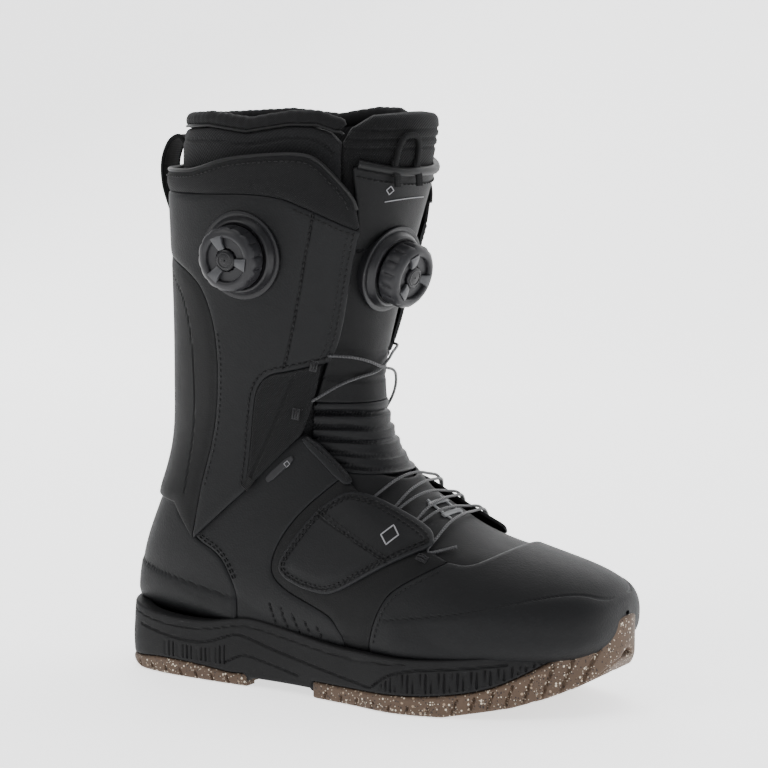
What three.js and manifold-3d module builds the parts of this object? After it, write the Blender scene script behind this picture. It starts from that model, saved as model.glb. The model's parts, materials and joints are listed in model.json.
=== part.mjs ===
// Snowboard boot: a right boot, sole on the ground, toe towards +X, outer side towards -Y.
// Every upper piece is cut from one smooth last surface, wrapped in layers like real leather work.
import * as THREE from 'three';
import { mergeVertices } from 'three/addons/utils/BufferGeometryUtils.js';
import Module from 'manifold-3d';

const wasm = await Module();
wasm.setup();

// ---------- driving dimensions, millimetres ----------
const OUTSOLE_LENGTH = 303;
const FOREFOOT_WIDTH = 117;
const SHAFT_HEIGHT = 200;        // from the ankle line to the top of the cuff
const SEAM_GAP = 0.35;           // between pieces that meet edge to edge
const LAP_GAP = 0.9;             // between the foot shell and the cuff that slides over it
const SHELL_WALL = 2.2;
const CUFF_WALL = 2.2;
const OVERLAY_WALL = 1.8;
const TONGUE_WALL = 2.2;
const TONGUE_INSET = 2.8;        // how far the tongue lies under the shell surface
const LINER_INSET = 6.5;         // outer face of the liner under the shell surface
const LINER_WALL = 8;
const LINER_FOOT_WALL = 6;
const RUBBER = 7;                // outsole thickness under the heel
const DIAL_RADIUS = 17;
const DIAL_HEIGHT = 12;
const DIAL_BASE_RADIUS = 21;
const DIAL_BASE_RISE = 5;
const DIAL_CORE_RADIUS = 6;
const DIAL_STEM_RADIUS = 2.5;
const SPOOL_RADIUS = 9;
const SPOOL_HEIGHT = 4;
const RUNNING_GAP = 0.4;
const LACE_RADIUS = 1.1;
const GUIDE_SIZE = 9;
const GUIDE_PLATE = 1;
const COLLAR_RADIUS = 4;
const PIPING_RADIUS = 2.2;
const WEBBING = 2;
const WEBBING_WIDTH = 18;

// The pattern below is drawn for one size and graded to the driving dimensions.
const PATTERN_LENGTH = 303;
const PATTERN_WIDTH = 117;
const PATTERN_SHAFT = 200;
const ANKLE_LINE = 100;
const COLUMNS = 20;
const LINER_COLUMNS = 16;
const gradeX = x => x * OUTSOLE_LENGTH / PATTERN_LENGTH;
const gradeY = y => y * FOREFOOT_WIDTH / PATTERN_WIDTH;
const gradeZ = z => z <= ANKLE_LINE ? z : ANKLE_LINE + (z - ANKLE_LINE) * SHAFT_HEIGHT / PATTERN_SHAFT;

// ---------- materials ----------
const material = (color, roughness, metalness = 0) =>
  new THREE.MeshStandardMaterial({ color, roughness, metalness });
const leather = material('#2d2e31', 0.62);
const matteLeather = material('#26272a', 0.72);
const textile = material('#1a1b1d', 0.9);
const webbing = material('#161719', 0.85);
const foam = material('#1b1c1f', 0.95);
const lining = material('#2b2c30', 0.95);
const piping = material('#202124', 0.7);
const tonguePlastic = material('#242528', 0.55);
const dialPlastic = material('#141517', 0.35);
const dialRubber = material('#0f1012', 0.6);
const dialAccent = material('#3a3b3e', 0.4);
const laceCoat = material('#3c3d40', 0.5);
const guidePlastic = material('#101113', 0.5);
const greyGuide = material('#8e9093', 0.6);
const midsoleFoam = material('#1e1f21', 0.8);
const rubber = material('#7b6c5c', 0.9);
const board = material('#4a463f', 0.9);
const steel = material('#8a8d90', 0.4, 0.8);

// ---------- solids ----------
function toSolid(geometry) {
  const bare = geometry.clone();
  bare.deleteAttribute('normal');
  bare.deleteAttribute('uv');
  const merged = mergeVertices(bare, 1e-4);
  return new wasm.Manifold(new wasm.Mesh({
    numProp: 3,
    vertProperties: Float32Array.from(merged.attributes.position.array),
    triVerts: Uint32Array.from(merged.index.array),
  }));
}

function toGeometry(solid) {
  const mesh = solid.getMesh();
  const geometry = new THREE.BufferGeometry();
  geometry.setAttribute('position', new THREE.BufferAttribute(mesh.vertProperties, 3));
  geometry.setIndex(new THREE.BufferAttribute(mesh.triVerts, 1));
  geometry.computeVertexNormals();
  return geometry;
}

const boot = new THREE.Group();

function add(name, solid, skin) {
  const geometry = solid.isBufferGeometry ? solid : toGeometry(solid);
  const mesh = new THREE.Mesh(geometry, skin);
  mesh.name = name;
  boot.add(mesh);
}

// ---------- the last ----------
// Stations run from the toe tip, over the instep and up the shaft. Each one gives the front point
// (x, z), the back or bottom point (x, z), the half width, the share of the depth before the widest
// place, the roundness of the front and of the back, and the sideways shift of the middle.
const STATIONS = [
  [300, 54, 300, 52, 2, 0.55, 2.2, 2.6, 13],
  [299, 62, 299, 39, 22, 0.55, 2.2, 3.0, 12],
  [291, 71, 290, 31, 38, 0.58, 2.2, 3.2, 10],
  [273, 78, 268, 27, 48, 0.60, 2.2, 3.4, 7],
  [247, 85, 238, 25, 54, 0.62, 2.2, 3.6, 3],
  [220, 94, 203, 25, 57, 0.62, 2.2, 3.6, -1],
  [197, 106, 165, 26, 55, 0.64, 2.2, 3.6, -2],
  [179, 120, 125, 27, 50, 0.64, 2.2, 3.4, -2],
  [167, 136, 85, 28, 46, 0.62, 2.2, 3.0, -1],
  [160, 152, 42, 29, 44, 0.58, 2.2, 2.5, 0],
  [158, 167, 1, 33, 43, 0.54, 2.2, 2.15, 0],
  [158, 182, 1, 62, 43, 0.52, 2.2, 1.95, 0],
  [161, 198, 16, 94, 44, 0.50, 2.2, 1.9, 0],
  [165, 215, 29, 126, 46, 0.50, 2.2, 1.95, 0],
  [169, 232, 31, 157, 49, 0.50, 2.2, 2.1, 0],
  [174, 249, 33, 190, 52, 0.50, 2.2, 2.2, 0],
  [179, 266, 33, 223, 55, 0.50, 2.2, 2.2, 0],
  [184, 282, 32, 255, 57, 0.50, 2.2, 2.2, 0],
  [188, 295, 31, 285, 58, 0.50, 2.2, 2.2, 0],
  [191, 309, 32, 313, 58, 0.50, 2.2, 2.2, 0],
  [193, 323, 34, 341, 56, 0.50, 2.2, 2.2, 0],
];
const TOE = 0;
const TOP = STATIONS.length - 1;

function station(s) {
  const last = STATIONS.length - 1;
  const at = k => {
    if (k < 0) return STATIONS[0].map((v, i) => 2 * v - STATIONS[1][i]);
    if (k > last) return STATIONS[last].map((v, i) => 2 * v - STATIONS[last - 1][i]);
    return STATIONS[k];
  };
  const i = Math.min(Math.max(Math.floor(s), 0), last - 1);
  const u = s - i;
  const weight = [(1 - u) ** 3, 3 * u ** 3 - 6 * u ** 2 + 4, -3 * u ** 3 + 3 * u ** 2 + 3 * u + 1, u ** 3];
  return STATIONS[0].map((_, c) => weight.reduce((sum, w, k) => sum + w * at(i - 1 + k)[c], 0) / 6);
}

// A point of the last: angle 0 is the front, 90 the outer side, 180 the back or the bottom.
function lastPoint(s, angle, offset) {
  const [fx, fz, bx, bz, half, share, roundFront, roundBack, middle] = station(s);
  const front = new THREE.Vector2(gradeX(fx), gradeZ(fz));
  const back = new THREE.Vector2(gradeX(bx), gradeZ(bz));
  const depth = front.distanceTo(back);
  const along = back.clone().sub(front).divideScalar(Math.max(depth, 1e-6));
  const c = Math.cos(THREE.MathUtils.degToRad(angle));
  const n = Math.sin(THREE.MathUtils.degToRad(angle));
  const round = c >= 0 ? roundFront : roundBack;
  const reach = Math.max((c >= 0 ? share : 1 - share) * depth + offset, 0.4);
  const width = Math.max(gradeY(half) + offset, 0.4);
  const forward = reach * Math.sign(c) * Math.abs(c) ** (2 / round);
  const side = width * Math.sign(n) * Math.abs(n) ** (2 / round);
  const centre = front.add(along.clone().multiplyScalar(share * depth));
  const tip = offset * Math.max(0, 1 - s / 2);
  return new THREE.Vector3(
    centre.x - along.x * forward + tip,
    gradeY(middle) - side,
    centre.y - along.y * forward,
  );
}

// The last as a closed solid, grown or shrunk by an offset, between two stations.
function lastSolid(offset, from = TOE, to = TOP, columns = COLUMNS) {
  const rows = [from];
  for (let s = Math.floor(from) + 1; s < to; s++) rows.push(s);
  rows.push(to);
  const points = [];
  const faces = [];
  const at = (r, c) => r * columns + c % columns;
  for (const s of rows) {
    for (let c = 0; c < columns; c++) points.push(lastPoint(s, c * 360 / columns, offset));
  }
  for (let r = 0; r + 1 < rows.length; r++) {
    for (let c = 0; c < columns; c++) {
      faces.push(at(r, c), at(r + 1, c), at(r, c + 1), at(r, c + 1), at(r + 1, c), at(r + 1, c + 1));
    }
  }
  for (const [r, flip] of [[0, false], [rows.length - 1, true]]) {
    const centre = new THREE.Vector3();
    for (let c = 0; c < columns; c++) centre.addScaledVector(points[at(r, c)], 1 / columns);
    points.push(centre);
    for (let c = 0; c < columns; c++) {
      const rim = flip ? [at(r, c + 1), at(r, c)] : [at(r, c), at(r, c + 1)];
      faces.push(points.length - 1, ...rim);
    }
  }
  const geometry = new THREE.BufferGeometry().setFromPoints(points);
  geometry.setIndex(faces);
  return toSolid(geometry);
}

// A skin of the last between two offsets, open at the top.
function skin(inner, outer, innerFrom = TOE, outerFrom = TOE, columns = COLUMNS) {
  return lastSolid(outer, outerFrom, TOP, columns).subtract(lastSolid(inner, innerFrom, TOP + 0.5,
    columns));
}

// ---------- cutters ----------
const WIDE = 200;

// A side view outline, x and z of the pattern, carried across the boot between two y values.
function across(outline, from = -WIDE, to = WIDE) {
  const shape = new THREE.Shape(outline.map(([x, z]) => new THREE.Vector2(gradeX(x), gradeZ(z))));
  const geometry = new THREE.ExtrudeGeometry(shape, { depth: to - from, bevelEnabled: false });
  geometry.rotateX(Math.PI / 2);
  geometry.translate(0, to, 0);
  return toSolid(geometry);
}

const OUTER = [-WIDE, -SEAM_GAP / 2];
const INNER = [SEAM_GAP / 2, WIDE];

function grown(outline, gap) {
  const points = outline.map(([x, z]) => new THREE.Vector2(x, z));
  const turn = THREE.ShapeUtils.isClockWise(points) ? -1 : 1;
  return points.map((p, i) => {
    const before = p.clone().sub(points[(i + points.length - 1) % points.length]).normalize();
    const after = points[(i + 1) % points.length].clone().sub(p).normalize();
    const normal = new THREE.Vector2(before.y + after.y, -before.x - after.x).normalize();
    const miter = Math.max(normal.dot(new THREE.Vector2(after.y, -after.x)), 0.4);
    normal.multiplyScalar(turn * gap / miter);
    return [p.x + normal.x, p.y + normal.y];
  });
}

// ---------- pattern outlines, side view ----------
const HEEL_SEAM = [[46, 99], [60, 80], [77, 73], [85, 60], [89, 49], [88, 15]];
const THROAT = [[129, 143], [157, 117], [185, 98], [221, 82]];
const TOE_SEAM = [[221, 82], [197, 68], [189, 59], [182, 43], [175, 15]];
const TONGUE_EDGE = [[221, 82], [232, 80], [241, 85], [250, 92], [250, 110]];
const DARK_EDGE = [[152, 121.6], [125, 97], [111, 72], [117, 60], [148, 50], [159, 45], [168, 15]];
const INSERT_EDGE = [[96, 111], [101, 152], [105, 170], [113, 177], [120, 178], [142, 184]];
const CUFF_FRONT = [[142, 184], [148, 197], [155, 227], [160, 246], [163, 256]];
const LEATHER_TOP = [[163, 256], [144, 267], [122, 276], [67, 274], [-20, 274]];
const FLAP_TOP = [[-20, 286], [61, 286], [75, 288], [94, 294], [126, 297], [141, 297], [148, 294], [155,
  286],
  [162, 275], [163, 268]];
const BACK_LINE = [[67, 112], [79, 149], [83, 205], [65, 236], [-20, 246]];
const INSERT_FRONT = [[138, 183], [134, 166], [129, 149], [127, 143]];
const STRAP = [[161, 117], [216, 91], [192, 80], [157, 59], [139, 60], [125, 64], [119, 69], [121, 77],
  [141, 104]];
const MEDIAL_STRAP = [[157, 105], [210, 79], [192, 73], [157, 59], [139, 60], [125, 64], [119, 69], [121,
  77],
  [141, 98]];
const EYESTAY = [[161, 117], [217, 91], [213, 80.5], [158, 106.5]];
const ANKLE_BAND = [[125, 140], [131, 143], [160, 118], [152, 117]];
const LABEL = [[106, 118], [121, 132], [124, 129], [109, 115]];

// ---------- sole ----------
const SOLE_PLAN = [[0, 0], [4, 21], [14, 34], [36, 42], [70, 45.5], [120, 47.5], [165, 53.5], [200, 58.5],
  [235, 55.5], [262, 47], [284, 34], [297, 19], [303, 0]];
const SOLE_BEND = [[0, 0], [100, 0], [200, -2], [303, 14]];
const MIDSOLE_TOP = [[-5, 39], [15, 37], [31, 34], [64, 33], [85, 37], [97, 39], [119, 36], [152, 31],
  [178, 30],
  [213, 30], [246, 33], [267, 37], [284, 41], [292, 43]];
const RUBBER_TOP = [[290, 41], [285, 37], [277, 31], [262, 22], [246, 15], [222, 11], [204, 10], [172, 9],
  [142, 9]];
const TREAD = [[142, 0], [225, 0], [258, 6], [274, 11], [286, 16], [295, 21], [302, 30], [306, 45], [306,
  53],
  [298, 50]];
const HEEL_FRONT = 96;
const ARCH = [[97, 5], [141, 5]];
const SHANK_SPAN = [105, 133];
const SHANK_WIDTH = 26;
const SHANK_WALL = 2.4;
const SHANK_TOP = 8;
const SHANK_GAP = 0.5;           // from the shank to the foam above it
const BOARD_TOP = 33;
const FOOTBED_TOP = 43;

function bend(x) {
  const i = Math.max(1, SOLE_BEND.findIndex(([end]) => end >= x));
  const [[x0, y0], [x1, y1]] = [SOLE_BEND[i - 1], SOLE_BEND[i]];
  return y0 + (y1 - y0) * (x - x0) / (x1 - x0);
}

function solePrism() {
  const side = sign => new THREE.SplineCurve(SOLE_PLAN.map(([x, w]) =>
    new THREE.Vector2(gradeX(x), gradeY(bend(x) + sign * w)))).getPoints(26);
  const shape = new THREE.Shape([...side(-1), ...side(1).reverse().slice(1, -1)]);
  return toSolid(new THREE.ExtrudeGeometry(shape, { depth: 80, bevelEnabled: false }));
}

function buildSole() {
  const prism = solePrism();
  const room = lastSolid(SEAM_GAP);
  const heelBottom = [[-5, 4], [2, 4], [18, 0], [HEEL_FRONT, 0]];
  const heel = [...heelBottom, [HEEL_FRONT, RUBBER], [-5, RUBBER]];
  add('outsole_heel', prism.intersect(across(heel)), rubber);
  const forefoot = [...TREAD, ...RUBBER_TOP];
  add('outsole_forefoot', prism.intersect(across(forefoot)).subtract(room), rubber);
  const lift = RUBBER_TOP.map(([x, z]) => [x - SEAM_GAP, z + SEAM_GAP]);
  const core = [[-5, RUBBER + SEAM_GAP], [HEEL_FRONT, RUBBER + SEAM_GAP], ...ARCH, ...lift.reverse(),
    ...MIDSOLE_TOP.slice().reverse()];
  const [from, to] = SHANK_SPAN;
  const half = SHANK_WIDTH / 2;
  const pocket = box(from - 1, to + 1, -half - 1, half + 1, -1, SHANK_TOP + SHANK_GAP);
  add('midsole', prism.intersect(across(core)).subtract(room).subtract(pocket), midsoleFoam);
  add('shank', box(from, to, -half, half, SHANK_TOP - SHANK_WALL, SHANK_TOP), steel);
  const inside = lastSolid(-SHELL_WALL - SEAM_GAP).subtract(lastSolid(-LINER_INSET + SEAM_GAP, 1));
  add('insole_board', inside.intersect(across([[20, 10], [20, BOARD_TOP], [270, BOARD_TOP], [270, 10]],
    -38, 38)), board);
}

function box(x0, x1, y0, y1, z0, z1) {
  const geometry = new THREE.BoxGeometry(gradeX(x1 - x0), gradeY(y1 - y0), z1 - z0);
  geometry.translate(gradeX((x0 + x1) / 2), gradeY((y0 + y1) / 2), (z0 + z1) / 2);
  return toSolid(geometry);
}

// ---------- foot shell ----------
function buildFoot() {
  const shell = skin(-SHELL_WALL, 0);
  const toe = [...TOE_SEAM.slice().reverse(), ...TONGUE_EDGE.slice(1), [330, 110], [330, 15]];
  add('toe_cap', shell.intersect(across(grown(toe, -SEAM_GAP / 2))), leather);
  const counter = [[-30, 110], [46, 107], [50, 91], ...HEEL_SEAM.slice(1), [-30, 15]];
  add('heel_counter', shell.intersect(across(grown(counter, -SEAM_GAP / 2))), leather);
  const quarter = [[46.5, 107], [60, 88], [96, 119], [127, 143], [129, 143], ...DARK_EDGE,
    ...HEEL_SEAM.slice(1).reverse(), [50, 91]];
  const vamp = [...THROAT.slice(1), ...TOE_SEAM.slice(1), ...DARK_EDGE.slice().reverse()];
  const overlay = skin(SEAM_GAP, SEAM_GAP + OVERLAY_WALL);
  for (const [side, half, strap] of [['lateral', OUTER, STRAP], ['medial', INNER, MEDIAL_STRAP]]) {
    const cut = outline => across(grown(outline, -SEAM_GAP / 2), ...half);
    add(`quarter_${side}`, shell.intersect(cut(quarter)), matteLeather);
    add(`vamp_panel_${side}`, shell.intersect(cut(vamp)), textile);
    add(`instep_strap_${side}`, overlay.intersect(across(strap, ...half)), leather);
    const band = overlay.intersect(cut(ANKLE_BAND)).subtract(across(grown(STRAP, SEAM_GAP)));
    add(`ankle_band_${side}`, band, webbing);
  }
  add('label_tag', overlay.intersect(across(LABEL, ...OUTER)), webbing);
  add('eyestay_medial', overlay.intersect(across(EYESTAY, ...INNER)), webbing);
}

// ---------- tongue ----------
const FLEX_LOW = 124;
const FLEX_HIGH = 160;
const RIM_TOP = 291;

function buildTongue() {
  const sheet = skin(-TONGUE_INSET - TONGUE_WALL, -TONGUE_INSET);
  const front = [[142, 184], [148, 197], [155, 227], [160, 246], [163, 257], [164, 268]];
  const low = [[140, 122], [157, 108], [185, 90], [221, 75], [236, 74], [250, 98], [170, FLEX_LOW]];
  add('tongue_lower', sheet.intersect(across([...low, [140, FLEX_LOW]])), tonguePlastic);
  const flex = [[132, FLEX_LOW + SEAM_GAP], [200, FLEX_LOW + SEAM_GAP], [200, FLEX_HIGH], [133, FLEX_HIGH]];
  add('tongue_flex', sheet.intersect(across(flex)), textile);
  const high = [[135, FLEX_HIGH + SEAM_GAP], [200, FLEX_HIGH + SEAM_GAP], [215, RIM_TOP - 6], [180,
    RIM_TOP - 6],
    [164, RIM_TOP - 1], ...front.reverse()];
  add('tongue_upper', sheet.intersect(across(grown(high, -SEAM_GAP))), tonguePlastic);
}

// ---------- cuff ----------
function buildCuff() {
  const layer = skin(LAP_GAP, LAP_GAP + CUFF_WALL);
  const leatherOutline = [[60, 80], [96, 111], ...INSERT_EDGE.slice(1), ...CUFF_FRONT.slice(1),
    ...LEATHER_TOP.slice(1), [-20, 246], ...BACK_LINE.slice().reverse().slice(1)];
  const back = [[-20, 102], [46, 99], [60, 80.5], ...BACK_LINE];
  const flap = [...FLAP_TOP, ...LEATHER_TOP];
  const insert = [...INSERT_EDGE.slice(0, -1), ...INSERT_FRONT];
  add('back_panel', layer.intersect(across(grown(back, -SEAM_GAP / 2))), textile);
  for (const [side, half] of [['lateral', OUTER], ['medial', INNER]]) {
    const cut = outline => across(grown(outline, -SEAM_GAP / 2), ...half);
    add(`cuff_${side}`, layer.intersect(cut(leatherOutline)), leather);
    add(`cuff_flap_${side}`, layer.intersect(cut(flap)), matteLeather);
    add(`side_insert_${side}`, layer.intersect(cut(insert)), textile);
  }
}

// ---------- liner ----------
const LINER_TOP = [[20, 309], [43, 309], [75, 311], [102, 308], [128, 312], [142, 312], [153, 308],
  [159, 302]];

// The ankle wedge of the liner lies between these lines, which open from the ankle pivot.
const LINER_FOOT_LINE = [[-20, 98], [70, 103], [134, 119], [230, 137]];
const LINER_SHAFT_LINE = [[-20, 106], [70, 107], [110, 124.5], [230, 158]];

function buildLiner() {
  const shaftSkin = skin(-LINER_INSET - LINER_WALL, -LINER_INSET, 3, 1, LINER_COLUMNS);
  const footSkin = skin(-LINER_INSET - LINER_FOOT_WALL, -LINER_INSET, 2.4, 1, LINER_COLUMNS);
  const shaft = [...LINER_SHAFT_LINE.slice(0, 3), [134, 141], [142, 184], [155, 227],
    ...LINER_TOP.slice().reverse()];
  const foot = [...LINER_FOOT_LINE, [320, 110], [320, 10], [-20, 10]];
  const ankle = grown([...LINER_FOOT_LINE, ...LINER_SHAFT_LINE.slice().reverse()], -SEAM_GAP);
  const tongue = [[134.5, 141.2], [142.5, 184], [155.5, 227], [159.5, 302], [164, 310], [176, 317], [230,
    317],
    [230, 157]];
  add('liner_foot', footSkin.intersect(across(foot)), foam);
  add('liner_ankle', shaftSkin.intersect(across(ankle)), lining);
  add('liner_shaft', shaftSkin.intersect(across(shaft)), lining);
  add('liner_tongue', shaftSkin.intersect(across(tongue)), foam);
}

// ---------- trim that follows the last ----------
// Where the last at an angle and offset meets a height that depends on x.
function atHeight(angle, offset, heightAt) {
  let [low, high] = [12, TOP];
  for (let k = 0; k < 30; k++) {
    const middle = (low + high) / 2;
    const p = lastPoint(middle, angle, offset);
    if (p.z < gradeZ(heightAt(p.x / gradeX(1)))) low = middle;
    else high = middle;
  }
  return lastPoint((low + high) / 2, angle, offset);
}

function along(outline) {
  return x => {
    const i = outline.findIndex(([end]) => end >= x);
    if (i <= 0) return outline[i < 0 ? outline.length - 1 : 0][1];
    const [[x0, z0], [x1, z1]] = [outline[i - 1], outline[i]];
    return z0 + (z1 - z0) * (x - x0) / (x1 - x0);
  };
}

function tube(points, radius, sides, steps) {
  const section = new THREE.Shape();
  section.setFromPoints(Array.from({ length: sides }, (_, k) => {
    const turn = 2 * Math.PI * (k + 0.5) / sides;
    return new THREE.Vector2(radius * Math.cos(turn), radius * Math.sin(turn));
  }));
  const curve = new THREE.CatmullRomCurve3(points, false, 'centripetal');
  return new THREE.ExtrudeGeometry(section, { steps, extrudePath: curve });
}

const range = (from, to, count) => Array.from({ length: count }, (_,
  k) => from + (to - from) * k / (count - 1));
const RIM_LINE = [[150, RIM_TOP - 1], [164, RIM_TOP - 1], [180, RIM_TOP - 6], [200, RIM_TOP - 6]];
const RIM_ANGLE = 42;
const COLLAR_ANGLE = 52;

function buildEdges() {
  const rimLine = along(RIM_LINE);
  const rimOffset = -TONGUE_INSET;
  const rim = range(RIM_ANGLE, -RIM_ANGLE, 13).map(angle =>
    atHeight(angle, rimOffset, rimLine).add(new THREE.Vector3(0, 0, PIPING_RADIUS + SEAM_GAP)));
  add('tongue_rim', tube(rim, PIPING_RADIUS, 8, 16), piping);
  const linerLine = along(LINER_TOP);
  const collar = range(COLLAR_ANGLE, 360 - COLLAR_ANGLE, 25).map(angle => {
    const p = atHeight(angle, -LINER_INSET - LINER_WALL / 2, linerLine);
    const x = p.x / gradeX(1);
    const slope = (linerLine(x + 1) - linerLine(x - 1)) / 2;
    return p.add(new THREE.Vector3(0, 0, (COLLAR_RADIUS + 2 * SEAM_GAP) * Math.hypot(1, slope)));
  });
  add('liner_collar', tube(collar, COLLAR_RADIUS, 8, 36), lining);
}

const TAB_WIDTH = 20;
const TAB_HEIGHT = 18;
const TAB_CORD = 3;
const TAB_ANGLE = 14;
const TAB_LEAN = 14;

function buildPullTab() {
  const rimLine = along(RIM_LINE);
  const foot = atHeight(TAB_ANGLE, -TONGUE_INSET, rimLine);
  const [w, h, c] = [TAB_WIDTH / 2, TAB_HEIGHT, TAB_CORD];
  const arch = new THREE.Shape();
  arch.moveTo(-w, 0);
  arch.lineTo(-w + 1.5, h - 5);
  arch.quadraticCurveTo(-w + 2, h, 0, h);
  arch.quadraticCurveTo(w - 2, h, w - 1.5, h - 5);
  arch.lineTo(w, 0);
  arch.lineTo(w - c, 0);
  arch.lineTo(w - c - 1, h - 6);
  arch.quadraticCurveTo(0, h - c + 1, -w + c + 1, h - 6);
  arch.lineTo(-w + c, 0);
  const geometry = new THREE.ExtrudeGeometry(arch, { depth: TAB_CORD, bevelEnabled: false,
    curveSegments: 4 });
  geometry.translate(0, 0, -TAB_CORD / 2);
  geometry.rotateX(Math.PI / 2);
  geometry.rotateZ(Math.PI / 2);
  geometry.rotateY(THREE.MathUtils.degToRad(TAB_LEAN));
  geometry.rotateZ(-THREE.MathUtils.degToRad(TAB_ANGLE));
  geometry.translate(foot.x, foot.y, foot.z + 2 * PIPING_RADIUS + 4 * SEAM_GAP);
  add('tongue_pull_tab', geometry, webbing);
}

const LOOP_FOOT = 31.9 - LAP_GAP - CUFF_WALL - SEAM_GAP - WEBBING / 2;
const LOOP_PATH = [[LOOP_FOOT, 238], [LOOP_FOOT, 250], [23, 262], [18, 277], [18, 291], [23, 301], [29,
  303.5],
  [33.5, 298], [34.8, 288], [34.8, 276]];

function buildPullLoop() {
  const curve = new THREE.SplineCurve(LOOP_PATH.map(([x, z]) => new THREE.Vector2(gradeX(x), gradeZ(z))));
  const middle = curve.getPoints(27);
  const edge = sign => middle.map((p, i) => {
    const t = curve.getTangent(i / 27);
    return new THREE.Vector2(p.x - t.y * sign * WEBBING / 2, p.y + t.x * sign * WEBBING / 2);
  });
  const shape = new THREE.Shape([...edge(1), ...edge(-1).reverse()]);
  const geometry = new THREE.ExtrudeGeometry(shape, { depth: WEBBING_WIDTH, bevelEnabled: false });
  geometry.rotateX(Math.PI / 2);
  geometry.translate(0, WEBBING_WIDTH / 2, 0);
  add('rear_pull_loop', geometry, webbing);
}

// ---------- laces and their guides ----------
// A frame on the last: x along the stations, y round the boot, z outwards.
function surfaceFrame(s, angle, offset) {
  const origin = lastPoint(s, angle, offset);
  const up = lastPoint(s + 0.1, angle, offset).sub(lastPoint(s - 0.1, angle, offset)).normalize();
  const round = lastPoint(s, angle + 2, offset).sub(lastPoint(s, angle - 2, offset)).normalize();
  const out = new THREE.Vector3().crossVectors(round, up).normalize();
  if (out.dot(lastPoint(s, angle, offset + 1).sub(origin)) < 0) out.negate();
  const second = new THREE.Vector3().crossVectors(out, up).normalize();
  return new THREE.Matrix4().makeBasis(up, second, out).setPosition(origin);
}

const GUIDE_DEPTH = 6;
const GUIDE_RISE = 3;
const GUIDE_SEAT = 0.55;           // clears the curve under the guide's flat back
const GUIDE_ANGLE = 50;
const LACE_TURN = 44;
const LACE_SLACK = 1;              // how far a straight run may cut inside the curve it follows
const STRAND_STEP = 14;            // degrees between the points of a strand
const EDGE_BLEND = 18;             // degrees over which a strand climbs onto the upper
const STRAND_SIDES = 8;
const SHELL_TOP = SEAM_GAP + OVERLAY_WALL;
const CUFF_TOP = LAP_GAP + CUFF_WALL;
const LATERAL_ROWS = [7.2, 6.55, 5.95, 5.35];
const MEDIAL_ROWS = [6.9, 6.25, 5.65];
const CUFF_ROWS = [[12.1, 46], [10.9, 50]];

function guide(name, s, angle, seat) {
  const geometry = new THREE.BoxGeometry(GUIDE_SIZE, GUIDE_DEPTH, GUIDE_RISE);
  geometry.translate(0, 0, GUIDE_RISE / 2 + GUIDE_SEAT);
  geometry.applyMatrix4(surfaceFrame(s, angle, seat));
  add(name, geometry, guidePlastic);
}

// A strand follows the last through its stops, low over the tongue and high over the edges.
function strand(name, stops, low, high, edge, steps) {
  const points = [];
  for (let i = 0; i + 1 < stops.length; i++) {
    const [[s0, a0], [s1, a1]] = [stops[i], stops[i + 1]];
    const count = Math.max(1, Math.round(Math.abs(a1 - a0) / STRAND_STEP));
    for (let k = 0; k < count; k++) points.push([s0 + (s1 - s0) * k / count, a0 + (a1 - a0) * k / count]);
  }
  points.push(stops[stops.length - 1]);
  const path = points.map(([s, a]) => {
    const rise = THREE.MathUtils.smoothstep(Math.abs(a), edge - EDGE_BLEND, edge);
    return lastPoint(s, a, low + (high - low) * rise);
  });
  add(name, tube(path, LACE_RADIUS, STRAND_SIDES, steps), laceCoat);
}

function buildLaces() {
  LATERAL_ROWS.forEach((s, i) => guide(`lace_guide_lateral_${i + 1}`, s, GUIDE_ANGLE, SHELL_TOP));
  MEDIAL_ROWS.forEach((s, i) => guide(`lace_guide_medial_${i + 1}`, s, -GUIDE_ANGLE, SHELL_TOP));
  CUFF_ROWS.forEach(([s, a], i) => {
    guide(`cuff_guide_lateral_${i + 1}`, s, a + 7, CUFF_TOP);
    guide(`cuff_guide_medial_${i + 1}`, s, -a - 7, CUFF_TOP);
  });
  const zigzag = LATERAL_ROWS.flatMap((s, i) => [[s, LACE_TURN], [MEDIAL_ROWS[i], -LACE_TURN]]);
  zigzag[zigzag.length - 1] = [4.95, 30];
  const lift = LACE_RADIUS + LACE_SLACK;
  const overPlate = GUIDE_PLATE - TONGUE_INSET + SEAM_GAP + lift;
  strand('instep_lace', zigzag, overPlate, SHELL_TOP + lift, 32, 46);
  const overTongue = lift - TONGUE_INSET;
  const overCuff = CUFF_TOP + lift;
  const [[topRow, topAngle], [lowRow, lowAngle]] = CUFF_ROWS;
  strand('ankle_lace_down', [[topRow, topAngle], [10.7, 6], [lowRow - 1, -lowAngle]],
    overTongue + 2 * lift, overCuff, 40, 18);
  strand('ankle_lace_up', [[lowRow, lowAngle], [10.7, 6], [topRow, -topAngle]], overTongue, overCuff, 40,
    18);
}

// ---------- dials ----------
const lathe = (profile, segments) =>
  new THREE.LatheGeometry(profile.map(([r, z]) => new THREE.Vector2(r, z)), segments).rotateX(Math.PI / 2);
const SPOOL_FLOOR = 1;
const DIAL_RECESS = 4;
const DIAL_FOOT = 8;              // how far the base reaches in before the cuff trims it
const STEM_BORE = DIAL_STEM_RADIUS + RUNNING_GAP;

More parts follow.
